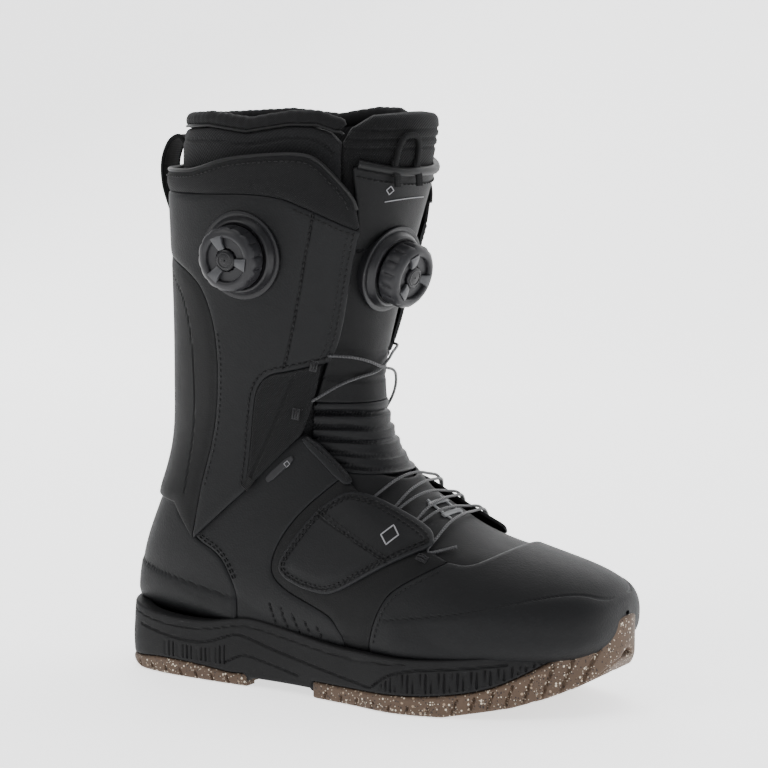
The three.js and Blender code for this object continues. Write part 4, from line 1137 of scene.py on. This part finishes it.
def build_tongue(b):
    last, _ = surfaces()
    m = MATERIALS
    low = [[140, 122], [157, 108], [185, 90], [221, 75], [236, 74], [250, 98], [170, FLEX_LOW], [140, FLEX_LOW]]
    settle(panel("tongue_front_lower", last, low, TONGUE, m["tongue"], edge=1.0,
                 relief=lambda v, depth: 0.4 * np.sin(v[:, 2] / 3.1)), "lower", "tongue_shell", "tongue_lower")
    ridges = [([[[120, z], [150, z + 0.5], [175, z - 1.5], [210, z - 1.5]]], 1.9, 1.5)
              for z in (127.5, 133.5, 140.5, 147.0, 154.5)]
    swell = lambda v, depth: 0.5 * np.sin((v[:, 2] - 124) / 6.6 * 2 * math.pi)
    for name, bottom, top, first, rows, bodies in (
            ("tongue_flex_lower", FLEX_LOW, FLEX_MIDDLE, 132, ridges[:3], ("lower", "cuff")),
            ("tongue_flex_upper", FLEX_MIDDLE, FLEX_HIGH, 133, ridges[2:], ("cuff", "tongue"))):
        outline = [[132, bottom], [200, bottom], [200, top], [first, top]]
        settle(panel(name, last, outline, (-5.0, 2.3), m["flex"], edge=0.3, grooves=rows, relief=swell),
               None, "flex_rubber", "tongue_flex",
               blend=(*bodies, frame_point(160, bottom), frame_point(160, top)))
    high = join([[133, FLEX_HIGH], [205, FLEX_HIGH], [215, RIM_TOP - 6], [180, RIM_TOP - 6], [164, RIM_TOP - 1]],
                np.array(FRONT_LINES[::-1]))
    seam = [[130, 245], [168, 243.5], [215, 241]]
    settle(panel("tongue_front_upper", last, high, TONGUE, m["tongue"], edge=1.0,
                 grooves=[([seam], 1.3, 0.9), ([[[125, 175], [150, 172.5], [200, 168]]], 2.2, 0.5),
                          ([[[125, 190], [150, 187], [200, 183]]], 2.6, 0.4)]),
           "tongue", "tongue_shell", "tongue_upper")
    angles = np.linspace(44, -44, 70)
    points, normals = at_height(angles, -TONGUE_INSET, RIM_LINE)
    points = points + [0, 0, 2.0]
    rim = Bundle()
    rim.sweep(points, normals, oval(5.2, 5.4, 12))
    settle(rim.object("tongue_top_piping", m["piping"]), "tongue", "piping", "tongue_rim")
    row, rows = at_height(angles, -TONGUE_INSET, RIM_LINE - [0, 5.0])
    stitches(THREADS.setdefault("tongue", Bundle()), row + rows * 0.15, rows, b)
    build_tab(m)
    mark = Bundle()
    p, n = on_last(16.82, 23.0, -TONGUE_INSET + 0.15)
    up = unit(on_last(17.02, 23.0)[0] - on_last(16.62, 23.0)[0])
    side = np.cross(up, n)
    mark.sweep(p + 2.4 * diamond(36) @ np.stack([side, up]), np.tile(n, (36, 1)), slab(0.5, 0.3, 0.1),
               closed=True)
    angles = np.linspace(25, -8, 20)
    p, n = on_last(np.full(20, 16.45), angles, -TONGUE_INSET + 0.15)
    mark.sweep(p, n, slab(0.5, 0.3, 0.1))
    settle(mark.object("tongue_printed_mark", m["mark"]), "tongue", "tongue_shell")
    angles = np.linspace(-9, 9, 16)
    guide = Bundle()
    for s in (5.75, 6.15):
        p, n = on_last(np.full(16, s), angles, -TONGUE_INSET + 1.0)
        guide.sweep(p, n, slab(3.0, 1.2, 0.5))
    rail = np.linspace(5.6, 6.3, 16)
    for angle in (-6.5, 6.5):
        p, n = on_last(rail, np.full(16, angle), -TONGUE_INSET + 0.8)
        guide.sweep(p, n, slab(1.6, 1.1, 0.4))
    settle(guide.object("instep_guide_plate", m["grey_guide"]), "lower", "grey_guide", "instep_guide")


def build_tab(m):
    """The pull tab: a bent cord loop in tape, on two sewn feet."""
    foot, _ = at_height(np.array([14.0]), -TONGUE_INSET, RIM_LINE)
    foot = foot[0] + [0, 0, 2 * 2.2 + 4 * SEAM]
    w, h = 8.5, 16.5
    arch = np.array([[-w, 0], [-w + 0.4, 6], [-w + 1.2, 11], [-w + 3.6, h - 1.2], [0, h], [w - 3.6, h - 1.2],
                     [w - 1.2, 11], [w - 0.4, 6], [w, 0]])
    lean, turn = math.radians(14), -math.radians(14)
    local = np.column_stack([arch[:, 1] * math.sin(lean), arch[:, 0], arch[:, 1] * math.cos(lean)])
    spin = np.array([[math.cos(turn), -math.sin(turn), 0], [math.sin(turn), math.cos(turn), 0], [0, 0, 1]])
    points = spline(local @ spin.T + foot, 60)
    facing = spin @ np.array([math.cos(lean), 0, -math.sin(lean)])
    tab = Bundle()
    tab.sweep(points, np.tile(facing, (60, 1)), slab(3.0, 2.8, 0.9))
    for k in (0, -1):
        base = points[k]
        strap = np.array([base + [0, 0, 3], base + [0, 0, -1.5], base + facing * 1.6 + [0, 0, -5.5],
                          base + facing * 2.2 + [0, 0, -11]])
        tab.sweep(spline(strap, 24), np.tile(facing, (24, 1)), slab(4.6, 1.4, 0.4))
    settle(tab.object("tongue_tab_tape", m["webbing"]), "tongue", "webbing", "tongue_pull_tab")


# ---------------------------------------------------------------- the liner
LINER_TOP = np.array([[20, 309], [43, 309], [75, 311], [102, 308], [128, 312], [142, 312], [153, 308],
                      [159, 302]], float)
LINER_FOOT_LINE = [[-20, 98], [70, 103], [134, 119], [230, 137]]
LINER_SHAFT_LINE = [[-20, 106], [70, 107], [110, 124.5], [230, 158]]
LINER = (-14.5, 8.0)


def build_liner(b):
    last, _ = surfaces()
    m = MATERIALS
    foot = join(LINER_FOOT_LINE, [[320, 110], [320, 10], [-20, 10]])
    settle(panel("liner_foot_foam", last, foot, (-12.5, 6.0), m["liner_cloth"], edge=2.0), "lower", "liner_foam",
           "liner_foot")
    ankle = join(LINER_FOOT_LINE, LINER_SHAFT_LINE[::-1])
    piece = panel("liner_ankle_gusset", last, ankle, (-14.0, 7.5), m["liner_cloth"], edge=0.6)
    settle(piece, None, "liner_textile", "liner_ankle",
           blend=("lower", "cuff", frame_point(90, 104), frame_point(86, 116)))
    shaft = join(LINER_SHAFT_LINE[:3], [[134, 141], [142, 184], [155, 227]], LINER_TOP[::-1])
    piece = settle(panel("liner_shaft_padding", last, shaft, LINER, m["liner_inset"], edge=3.0,
                         relief=lambda v, depth: 1.4 * smoothstep(0, 9, depth),
                         grooves=[([inset_line(LINER_TOP, -7.0)], 1.6, 1.2)]),
                   "cuff", "liner_textile", "liner_shaft")
    tongue = [[134.5, 141.2], [142.5, 184], [155.5, 227], [159.5, 302], [164, 310], [176, 317], [230, 317],
              [230, 157]]
    stripes = [([[[140, z], [240, z - 3]] for z in range(300, 314, 5)], 1.6, 0.9)]
    piece = settle(panel("liner_tongue_padding", last, tongue, LINER, m["liner_cloth"], edge=3.6,
                         relief=lambda v, depth: 1.2 * smoothstep(0, 9, depth), grooves=stripes),
                   "cuff", "liner_foam", "liner_tongue")
    angles = np.linspace(52, 308, 200)
    points, normals = at_height(angles, -10.5, LINER_TOP)
    slope = (np.interp(points[:, 0] + 1, *LINER_TOP.T) - np.interp(points[:, 0] - 1, *LINER_TOP.T)) / 2
    points = points + np.stack([0 * slope, 0 * slope, 3.6 * np.hypot(1, slope)], 1)
    pucker = 1 + 0.035 * np.sin(np.arange(200) * 1.9) + 0.02 * np.sin(np.arange(200) * 0.7 + 1)
    pucker[:3], pucker[-3:] = [0.5, 0.8, 0.95], [0.95, 0.8, 0.5]
    roll = Bundle()
    roll.sweep(points, normals, oval(9.0, 8.6, 18), scale=pucker)
    piece = settle(roll.object("liner_collar_roll", m["collar_cloth"]), "cuff", "liner_textile", "liner_collar")
    cord = Bundle()
    cord.sweep(points + normals * 4.0 - [0, 0, 3.4], normals, oval(1.6, 1.6, 8))
    settle(cord.object("liner_collar_cord", m["piping"]), "cuff", "liner_textile")


# ---------------------------------------------------------------- lacing
GUIDE_ANGLE, LACE_TURN = 50, 44
LATERAL_ROWS = [7.2, 6.55, 5.95, 5.35]
MEDIAL_ROWS = [6.9, 6.25, 5.65]
CUFF_ROWS = [(12.1, 46), (10.9, 50)]
LACE_LIFT = 2.1


def local_frame(s, angle, offset):
    """Origin, along the boot, round it and outwards."""
    p, n = on_last(s, angle, offset)
    up = unit(last_point(s + 0.1, angle) - last_point(s - 0.1, angle))
    return p, up, np.cross(n, up), n


def lace_guide(bundle, s, angle, seat, size=0.72):
    """A low moulded clip: a rounded saddle with a tunnel that the lace runs through, on a sewn foot."""
    p, up, side, n = local_frame(s, angle, seat)
    to = lambda a, c, h: p + (up * a + side * c + n * h) * size + n * 0.4
    t = np.linspace(-4.4, 4.4, 17)
    bundle.sweep([to(a, 0, 0.45) for a in t], np.tile(n, (17, 1)), slab(5.8 * size, 0.9 * size, 0.3))
    arch = np.linspace(0, math.pi, 13)
    for c, girth in ((-1.9, 1.0), (0.0, 1.12), (1.9, 1.0)):
        bundle.sweep([to(2.7 * girth * math.cos(q), c, 0.4 + 2.3 * girth * math.sin(q)) for q in arch],
                     np.tile(side, (13, 1)), slab(1.7 * size, 0.9 * size, 0.25))
    for a in (-3.7, 3.7):
        bundle.sweep([to(a, c, 0.9) for c in (-1.2, 0, 1.2)], np.tile(n, (3, 1)), oval(1.3 * size, 0.9 * size, 8))


def strand(stops, low, high, edge, outer):
    """A lace that follows the last through its stops, low over the tongue; high and outer are its ends' heights."""
    points = []
    for (s0, a0), (s1, a1) in zip(stops, stops[1:]):
        count = max(1, round(abs(a1 - a0) / 14))
        points += [(s0 + (s1 - s0) * k / count, a0 + (a1 - a0) * k / count) for k in range(count)]
    points.append(stops[-1])
    s, a = np.array(points).T
    rise = smoothstep(edge - 18, edge, np.abs(a))
    top = np.where(a > 0, outer, high)
    path, ups = on_last(s, a, low + (top - low) * rise)
    count = max(int(length_of(path) / 2.0), 12)
    joined = spline(np.column_stack([path, ups]), count)
    return joined[:, :3], unit(joined[:, 3:])


def build_lacing(b):
    m = MATERIALS
    shell_top = SEAM + 1.8
    for side, rows, sign in (("lateral", LATERAL_ROWS, 1), ("medial", MEDIAL_ROWS, -1)):
        for k, s in enumerate(rows, 1):
            clip = Bundle()
            lace_guide(clip, s, sign * GUIDE_ANGLE, -0.6 if side == "lateral" else shell_top)
            settle(clip.object(f"lace_clip_{side}_{k}", m["guide"]), "lower", "guide_plastic",
                   f"lace_guide_{side}_{k}")
        for k, (s, angle) in enumerate(CUFF_ROWS, 1):
            clip = Bundle()
            lace_guide(clip, s, sign * (angle + 7), CUFF_TOP)
            settle(clip.object(f"cuff_clip_{side}_{k}", m["guide"]), "cuff", "guide_plastic",
                   f"cuff_guide_{side}_{k}")
    zigzag = [stop for s, t in zip(LATERAL_ROWS, MEDIAL_ROWS) for stop in ((s, LACE_TURN), (t, -LACE_TURN))]
    zigzag += [(LATERAL_ROWS[3], LACE_TURN), (4.95, 30)]
    section = oval(2 * b.lace_radius / MM, 2 * b.lace_radius / MM, 12)
    over_plate = 1 - TONGUE_INSET + SEAM + LACE_LIFT
    laces = {"instep_lace": (zigzag, over_plate, shell_top + LACE_LIFT, 34, -0.9),
             "ankle_lace_down": ([CUFF_ROWS[0], (10.7, 6), (9.9, -50)], 3 * LACE_LIFT - TONGUE_INSET,
                                 CUFF_TOP + LACE_LIFT, 40, CUFF_TOP + LACE_LIFT),
             "ankle_lace_up": ([CUFF_ROWS[1], (10.7, 6), (12.1, -46)], LACE_LIFT - TONGUE_INSET,
                               CUFF_TOP + LACE_LIFT, 40, CUFF_TOP + LACE_LIFT)}
    for node, (stops, low, high, edge, outer) in laces.items():
        path, ups = strand(stops, low, high, edge, outer)
        cord = Bundle()
        cord.sweep(path, ups, section)
        piece = cord.object(node.replace("lace", "lace_cord"), m["lace"])
        if node == "instep_lace":
            settle(piece, "lower", "lace", node)
        else:
            settle(piece, None, "lace", node,
                   blend=("cuff", "tongue", frame_point(138, 175), frame_point(156, 175)))


# ---------------------------------------------------------------- dials
DIAL_RADIUS, DIAL_HEIGHT, BASE_RADIUS, BASE_RISE, CORE_RADIUS, RUNNING_GAP = 17.0, 12.0, 21.0, 5.0, 6.0, 0.4
DIAL_TOP = BASE_RISE + RUNNING_GAP + DIAL_HEIGHT


def turned(profile, waves=None, segments=96):
    """Points and faces of a closed profile turned round an axis; waves shape its radius round the turn."""
    profile = np.array(profile, float)
    turn = 2 * math.pi * np.arange(segments) / segments
    r = np.tile(profile[:, 0], (segments, 1))
    if waves is not None:
        r = r + waves(turn[:, None], profile[None, :, 1])
    points = np.stack([r * np.cos(turn)[:, None], r * np.sin(turn)[:, None],
                       np.broadcast_to(profile[None, :, 1], r.shape)], -1)
    m = len(profile)
    faces = [(s * m + k, (s + 1) % segments * m + k, (s + 1) % segments * m + (k + 1) % m, s * m + (k + 1) % m)
             for s in range(segments) for k in range(m)]
    return points.reshape(-1, 3), faces


def rounded(profile, cut=0.5):
    """A closed profile with its corners taken off."""
    p = np.array(profile, float)
    out = []
    for k in range(len(p)):
        for other in (p[k - 1], p[(k + 1) % len(p)]):
            gap = np.linalg.norm(other - p[k])
            out.append(p[k] + (other - p[k]) * min(cut / max(gap, 1e-6), 0.4))
    return out


def dial_frame(name):
    """The turning axis of a dial, from its joint."""
    joint = next(j for j in frame["record"]["behaviour"]["joints"] if j["name"] == f"{name}_turn")
    origin = np.array(joint["pos_m"]) / MM - PATTERN_SHIFT
    axis = unit(np.array(joint["axis"]))
    up = unit(np.array([0, 0, 1.0]) - axis * axis[2])
    return origin, np.stack([up, np.cross(axis, up), axis])


def build_dial(name, body, core, knob):
    m = MATERIALS
    origin, basis = dial_frame(name)
    put = lambda points: np.asarray(points) @ basis + origin
    base = rounded([[10.2, -6.5], [BASE_RADIUS + 0.8, -6.5], [BASE_RADIUS + 0.8, 1.2], [BASE_RADIUS - 0.6, 3.4],
                    [BASE_RADIUS - 1.4, BASE_RISE], [DIAL_RADIUS + 1.2, BASE_RISE], [DIAL_RADIUS + 0.4, 4.0],
                    [10.2, 4.0]], 0.5)
    piece = Bundle()
    points, faces = turned(base)
    piece.add(put(points), faces)
    turn = np.linspace(0, 2 * math.pi, 96, endpoint=False)
    ring = np.stack([(BASE_RADIUS + 1.6) * np.cos(turn), (BASE_RADIUS + 1.6) * np.sin(turn), 0 * turn + 0.35], 1)
    piece.sweep(put(ring), np.tile(basis[2], (96, 1)), slab(3.4, 1.6, 0.6), closed=True)
    settle(piece.object(f"{name}_housing", m["dial"]), body, "dial_plastic", f"{name}_base")
    seat, top, scallops = BASE_RISE + RUNNING_GAP, DIAL_TOP, 15

    def grip(turn, z):
        depth = smoothstep(seat + 1.2, seat + 3.0, z) * (1 - smoothstep(top - 3.2, top - 1.0, z))
        wave = np.abs(np.cos(turn * scallops / 2)) ** 0.6
        return depth * (0.9 * wave - 0.75)

    rows = np.linspace(seat + 0.9, top - 2.4, 14)
    profile = [[CORE_RADIUS + 0.6, seat]] + [[DIAL_RADIUS - 0.4, seat], [DIAL_RADIUS + 0.2, seat + 0.4]]
    profile += [[DIAL_RADIUS + 0.35 + 0.5 * math.sin((z - seat) / DIAL_HEIGHT * math.pi), z] for z in rows]
    profile += [[DIAL_RADIUS - 0.5, top - 1.2], [DIAL_RADIUS - 1.6, top - 0.4], [DIAL_RADIUS - 3.0, top],
                [DIAL_RADIUS - 4.4, top - 0.1], [DIAL_RADIUS - 5.0, top - 0.8], [DIAL_RADIUS - 5.2, top - 2.2],
                [CORE_RADIUS + 0.6, top - 2.2]]
    piece = Bundle()
    points, faces = turned(profile, grip, scallops * 16)
    piece.add(put(points), faces)
    settle(piece.object(f"{name}_grip", m["grip"], sharp=50), knob, "dial_rubber", f"{name}_knob")
    spokes = Bundle()       # three, that bridge the sunk face
    for k in range(3):
        lean = 2 * math.pi * k / 3 + 0.35
        out = np.array([math.cos(lean), math.sin(lean), 0])
        path = [out * r + [0, 0, h] for r, h in ((6.2, top - 1.6), (7.6, top - 1.0), (9.6, top - 0.6),
                                                 (11.6, top - 0.5), (12.8, top - 0.9))]
        width = [0.85, 0.9, 1.05, 1.3, 1.5]
        points, faces, _ = sweep(np.array(path), np.tile([0, 0, 1.0], (5, 1)), slab(5.0, 2.2, 0.7),
                                 scale=np.array(width))
        spokes.add(put(points), faces)
    settle(spokes.object(f"{name}_spokes", m["accent"]), knob, "dial_accent")
    hub = rounded([[0.3, 1.0], [2.4, 1.0], [2.4, top - 3.4], [CORE_RADIUS - 0.1, top - 3.4],
                   [CORE_RADIUS - 0.1, top - 0.9], [CORE_RADIUS - 1.0, top - 0.3], [0.3, top - 0.1]], 0.3)
    piece = Bundle()
    points, faces = turned(hub, segments=64)
    piece.add(put(points), faces)
    ring = np.stack([4.1 * np.cos(turn), 4.1 * np.sin(turn), 0 * turn + top - 0.22], 1)
    piece.sweep(put(ring), np.tile(basis[2], (96, 1)), slab(0.7, 0.35, 0.12), closed=True)
    settle(piece.object(f"{name}_hub", m["hub"]), core, "dial_accent", f"{name}_core")
    spool = frame["nodes"][f"{name}_spool"]
    spool.data.materials.clear()
    spool.data.materials.append(m["guide"])


def build_dials(b):
    build_dial("side_dial", "cuff", "side_core", "side_knob")
    build_dial("tongue_dial", "tongue", "tongue_core", "tongue_knob")


def build_threads(b):
    """All stitching, one object for each body that it is sewn to."""
    for body, bundle in THREADS.items():
        settle(bundle.object(f"stitching_{body}", MATERIALS["thread"]), body, "leather")


# ---------------------------------------------------------------- stage
def build_stage(b):
    floor = Paint("studio_floor", Roughness=0.9, Specular_IOR_Level=0.1, Emission_Color=(1.0, 1.0, 1.0, 1),
                  Emission_Strength=1.5)
    grain = floor.noise(floor.place(), 3.0, 2.0)
    floor.set(Base_Color=floor.mix(grain, (0.93, 0.93, 0.93, 1), (0.97, 0.97, 0.97, 1)))
    x = np.concatenate([[-4.0, 1.2], 1.2 + 1.3 * np.sin(np.linspace(0.1, math.pi / 2, 14)), [2.5]])
    z = np.concatenate([[0.0, 0.0], 1.3 - 1.3 * np.cos(np.linspace(0.1, math.pi / 2, 14)), [4.5]])
    points = np.array([[side, depth, height] for depth, height in zip(x, z) for side in (-5.0, 5.0)])
    points[:, 2] -= 0.0004
    faces = [(2 * k, 2 * k + 1, 2 * k + 3, 2 * k + 2) for k in range(len(x) - 1)]
    sweep_back = new_object("studio_sweep", points, faces, floor.material, in_frame=True)
    for name, place, size, power, colour in (
            ("key_light", (-1.1, -1.5, 1.7), 1.5, b.key_power, (1.0, 0.99, 0.97)),
            ("fill_light", (1.7, -1.2, 0.9), 1.4, b.key_power * 0.35, (0.97, 0.98, 1.0)),
            ("top_light", (0.1, 0.2, 2.3), 1.8, b.key_power * 0.8, (1.0, 1.0, 1.0)),
            ("rim_light", (-1.4, 1.5, 1.2), 1.0, b.key_power * 0.45, (1.0, 1.0, 1.0))):
        light = bpy.data.lights.new(name, "AREA")
        light.energy, light.size, light.color = power, size, colour
        lamp = bpy.data.objects.new(name, light)
        lamp.location = place
        lamp.rotation_euler = (Vector((0, 0, 0.15)) - Vector(place)).to_track_quat("-Z", "Y").to_euler()
        bpy.context.scene.collection.objects.link(lamp)
    world = bpy.data.worlds.new("studio_air")
    world.use_nodes = True
    world.node_tree.nodes["Background"].inputs["Color"].default_value = (0.95, 0.96, 1.0, 1)
    world.node_tree.nodes["Background"].inputs["Strength"].default_value = b.air_strength
    bpy.context.scene.world = world


def build_camera():
    """A long lens level with the shaft, turned thirty degrees towards the toe."""
    azimuth, elevation, distance = math.radians(30), math.radians(8), 1.5
    target = Vector((-0.0015, 0.0078, 0.145))
    back = Vector((math.sin(azimuth) * math.cos(elevation), -math.cos(azimuth) * math.cos(elevation),
                   math.sin(elevation)))
    data = bpy.data.cameras.new("studio_camera")
    data.sensor_width, data.lens = 36.0, 126.56
    data.shift_x, data.shift_y = 0.0169, 0.0547
    camera = bpy.data.objects.new("studio_camera", data)
    camera.location = target + back * distance
    camera.rotation_euler = back.to_track_quat("Z", "Y").to_euler()
    bpy.context.scene.collection.objects.link(camera)
    bpy.context.scene.camera = camera


# ---------------------------------------------------------------- the add-on
class BootSettings(bpy.types.PropertyGroup):
    """Sizes and colours of the boot that a user would change."""
    stitch_length: bpy.props.FloatProperty(name="Stitch length", description="Length of one stitch",
                                           default=0.0024, unit="LENGTH")
    stitch_gap: bpy.props.FloatProperty(name="Stitch gap", description="Leather between two stitches",
                                        default=0.0009, unit="LENGTH")
    thread_radius: bpy.props.FloatProperty(name="Thread radius", description="Radius of the sewing thread",
                                           default=0.0004, unit="LENGTH")
    lace_radius: bpy.props.FloatProperty(name="Lace radius", description="Radius of the lacing cord",
                                         default=0.0008, unit="LENGTH")
    leather_colour: bpy.props.FloatVectorProperty(name="Leather", description="Colour of the main leather",
                                                  default=(0.0040, 0.0042, 0.0047, 1), size=4, subtype="COLOR")
    overlay_colour: bpy.props.FloatVectorProperty(name="Overlays", description="Colour of the strap and tongue",
                                                  default=(0.0046, 0.0048, 0.0054, 1), size=4, subtype="COLOR")
    textile_colour: bpy.props.FloatVectorProperty(name="Cloth", description="Colour of the woven cloth",
                                                  default=(0.0045, 0.0046, 0.0050, 1), size=4, subtype="COLOR")
    lace_colour: bpy.props.FloatVectorProperty(name="Lace", description="Colour of the lacing cord",
                                               default=(0.022, 0.022, 0.024, 1), size=4, subtype="COLOR")
    midsole_colour: bpy.props.FloatVectorProperty(name="Midsole", description="Colour of the midsole foam",
                                                  default=(0.0055, 0.0055, 0.0058, 1), size=4, subtype="COLOR")
    rubber_colour: bpy.props.FloatVectorProperty(name="Rubber", description="Ground colour of the outsole",
                                                 default=(0.070, 0.043, 0.026, 1), size=4, subtype="COLOR")
    key_power: bpy.props.FloatProperty(name="Key light", description="Power of the main light", default=26.0,
                                       unit="POWER")
    air_strength: bpy.props.FloatProperty(name="Surroundings", description="Strength of the even light",
                                          default=0.5)


def settings(context):
    """The boot's settings, with its materials made once."""
    if not MATERIALS:
        make_materials(context.scene.boot)
    return context.scene.boot


class BOOT_OT_sole(bpy.types.Operator):
    """Build the rubber outsole, the foam midsole and the tread"""
    bl_idname = "boot.sole"
    bl_label = "Sole"
    bl_options = {"REGISTER", "UNDO"}

    def execute(self, context):
        b = settings(context)
        build_sole(b)
        return {"FINISHED"}


class BOOT_OT_foot(bpy.types.Operator):
    """Build the toe cap, vamp, quarters, heel counter, straps and bands"""
    bl_idname = "boot.foot"
    bl_label = "Foot shell"
    bl_options = {"REGISTER", "UNDO"}

    def execute(self, context):
        b = settings(context)
        build_foot(b)
        return {"FINISHED"}


class BOOT_OT_cuff(bpy.types.Operator):
    """Build the cuff leather, its collar, inserts, back cloth and pull loop"""
    bl_idname = "boot.cuff"
    bl_label = "Cuff"
    bl_options = {"REGISTER", "UNDO"}

    def execute(self, context):
        b = settings(context)
        build_cuff(b)
        return {"FINISHED"}


class BOOT_OT_tongue(bpy.types.Operator):
    """Build the tongue, its flex ribs, piping and pull tab"""
    bl_idname = "boot.tongue"
    bl_label = "Tongue"
    bl_options = {"REGISTER", "UNDO"}

    def execute(self, context):
        b = settings(context)
        build_tongue(b)
        return {"FINISHED"}


class BOOT_OT_liner(bpy.types.Operator):
    """Build the padded liner, its tongue and its collar roll"""
    bl_idname = "boot.liner"
    bl_label = "Liner"
    bl_options = {"REGISTER", "UNDO"}

    def execute(self, context):
        b = settings(context)
        build_liner(b)
        return {"FINISHED"}


class BOOT_OT_lacing(bpy.types.Operator):
    """Build the laces and the clips that they run through"""
    bl_idname = "boot.lacing"
    bl_label = "Lacing"
    bl_options = {"REGISTER", "UNDO"}

    def execute(self, context):
        b = settings(context)
        build_lacing(b)
        return {"FINISHED"}


class BOOT_OT_dials(bpy.types.Operator):
    """Build the lacing dials"""
    bl_idname = "boot.dials"
    bl_label = "Dials"
    bl_options = {"REGISTER", "UNDO"}

    def execute(self, context):
        b = settings(context)
        build_dials(b)
        return {"FINISHED"}


class BOOT_OT_threads(bpy.types.Operator):
    """Build the stitching of every sewn piece"""
    bl_idname = "boot.threads"
    bl_label = "Stitching"
    bl_options = {"REGISTER", "UNDO"}

    def execute(self, context):
        b = settings(context)
        build_threads(b)
        return {"FINISHED"}


class BOOT_OT_stage(bpy.types.Operator):
    """Build the floor, the lights and the camera"""
    bl_idname = "boot.stage"
    bl_label = "Stage"
    bl_options = {"REGISTER", "UNDO"}

    def execute(self, context):
        b = settings(context)
        build_stage(b)
        build_camera()
        return {"FINISHED"}


STEPS = (BOOT_OT_sole, BOOT_OT_foot, BOOT_OT_cuff, BOOT_OT_tongue, BOOT_OT_liner,
         BOOT_OT_lacing, BOOT_OT_dials, BOOT_OT_threads, BOOT_OT_stage)


class BOOT_PT_pieces(bpy.types.Panel):
    """Lists the pieces of the boot in build order"""
    bl_idname = "BOOT_PT_pieces"
    bl_label = "Snowboard Boot"
    bl_space_type = "VIEW_3D"
    bl_region_type = "UI"
    bl_category = "Boot"

    def draw(self, context):
        for key in BootSettings.__annotations__:
            self.layout.prop(context.scene.boot, key)
        for operator in STEPS:
            self.layout.operator(operator.bl_idname)


CLASSES = (BootSettings,) + STEPS + (BOOT_PT_pieces,)


def register():
    for cls in CLASSES:
        bpy.utils.register_class(cls)
    bpy.types.Scene.boot = bpy.props.PointerProperty(type=BootSettings)


def unregister():
    del bpy.types.Scene.boot
    for cls in reversed(CLASSES):
        bpy.utils.unregister_class(cls)


def main():
    register()
    for operator in STEPS:
        getattr(bpy.ops.boot, operator.bl_idname.split(".")[1])()


if __name__ == "__main__":
    main()
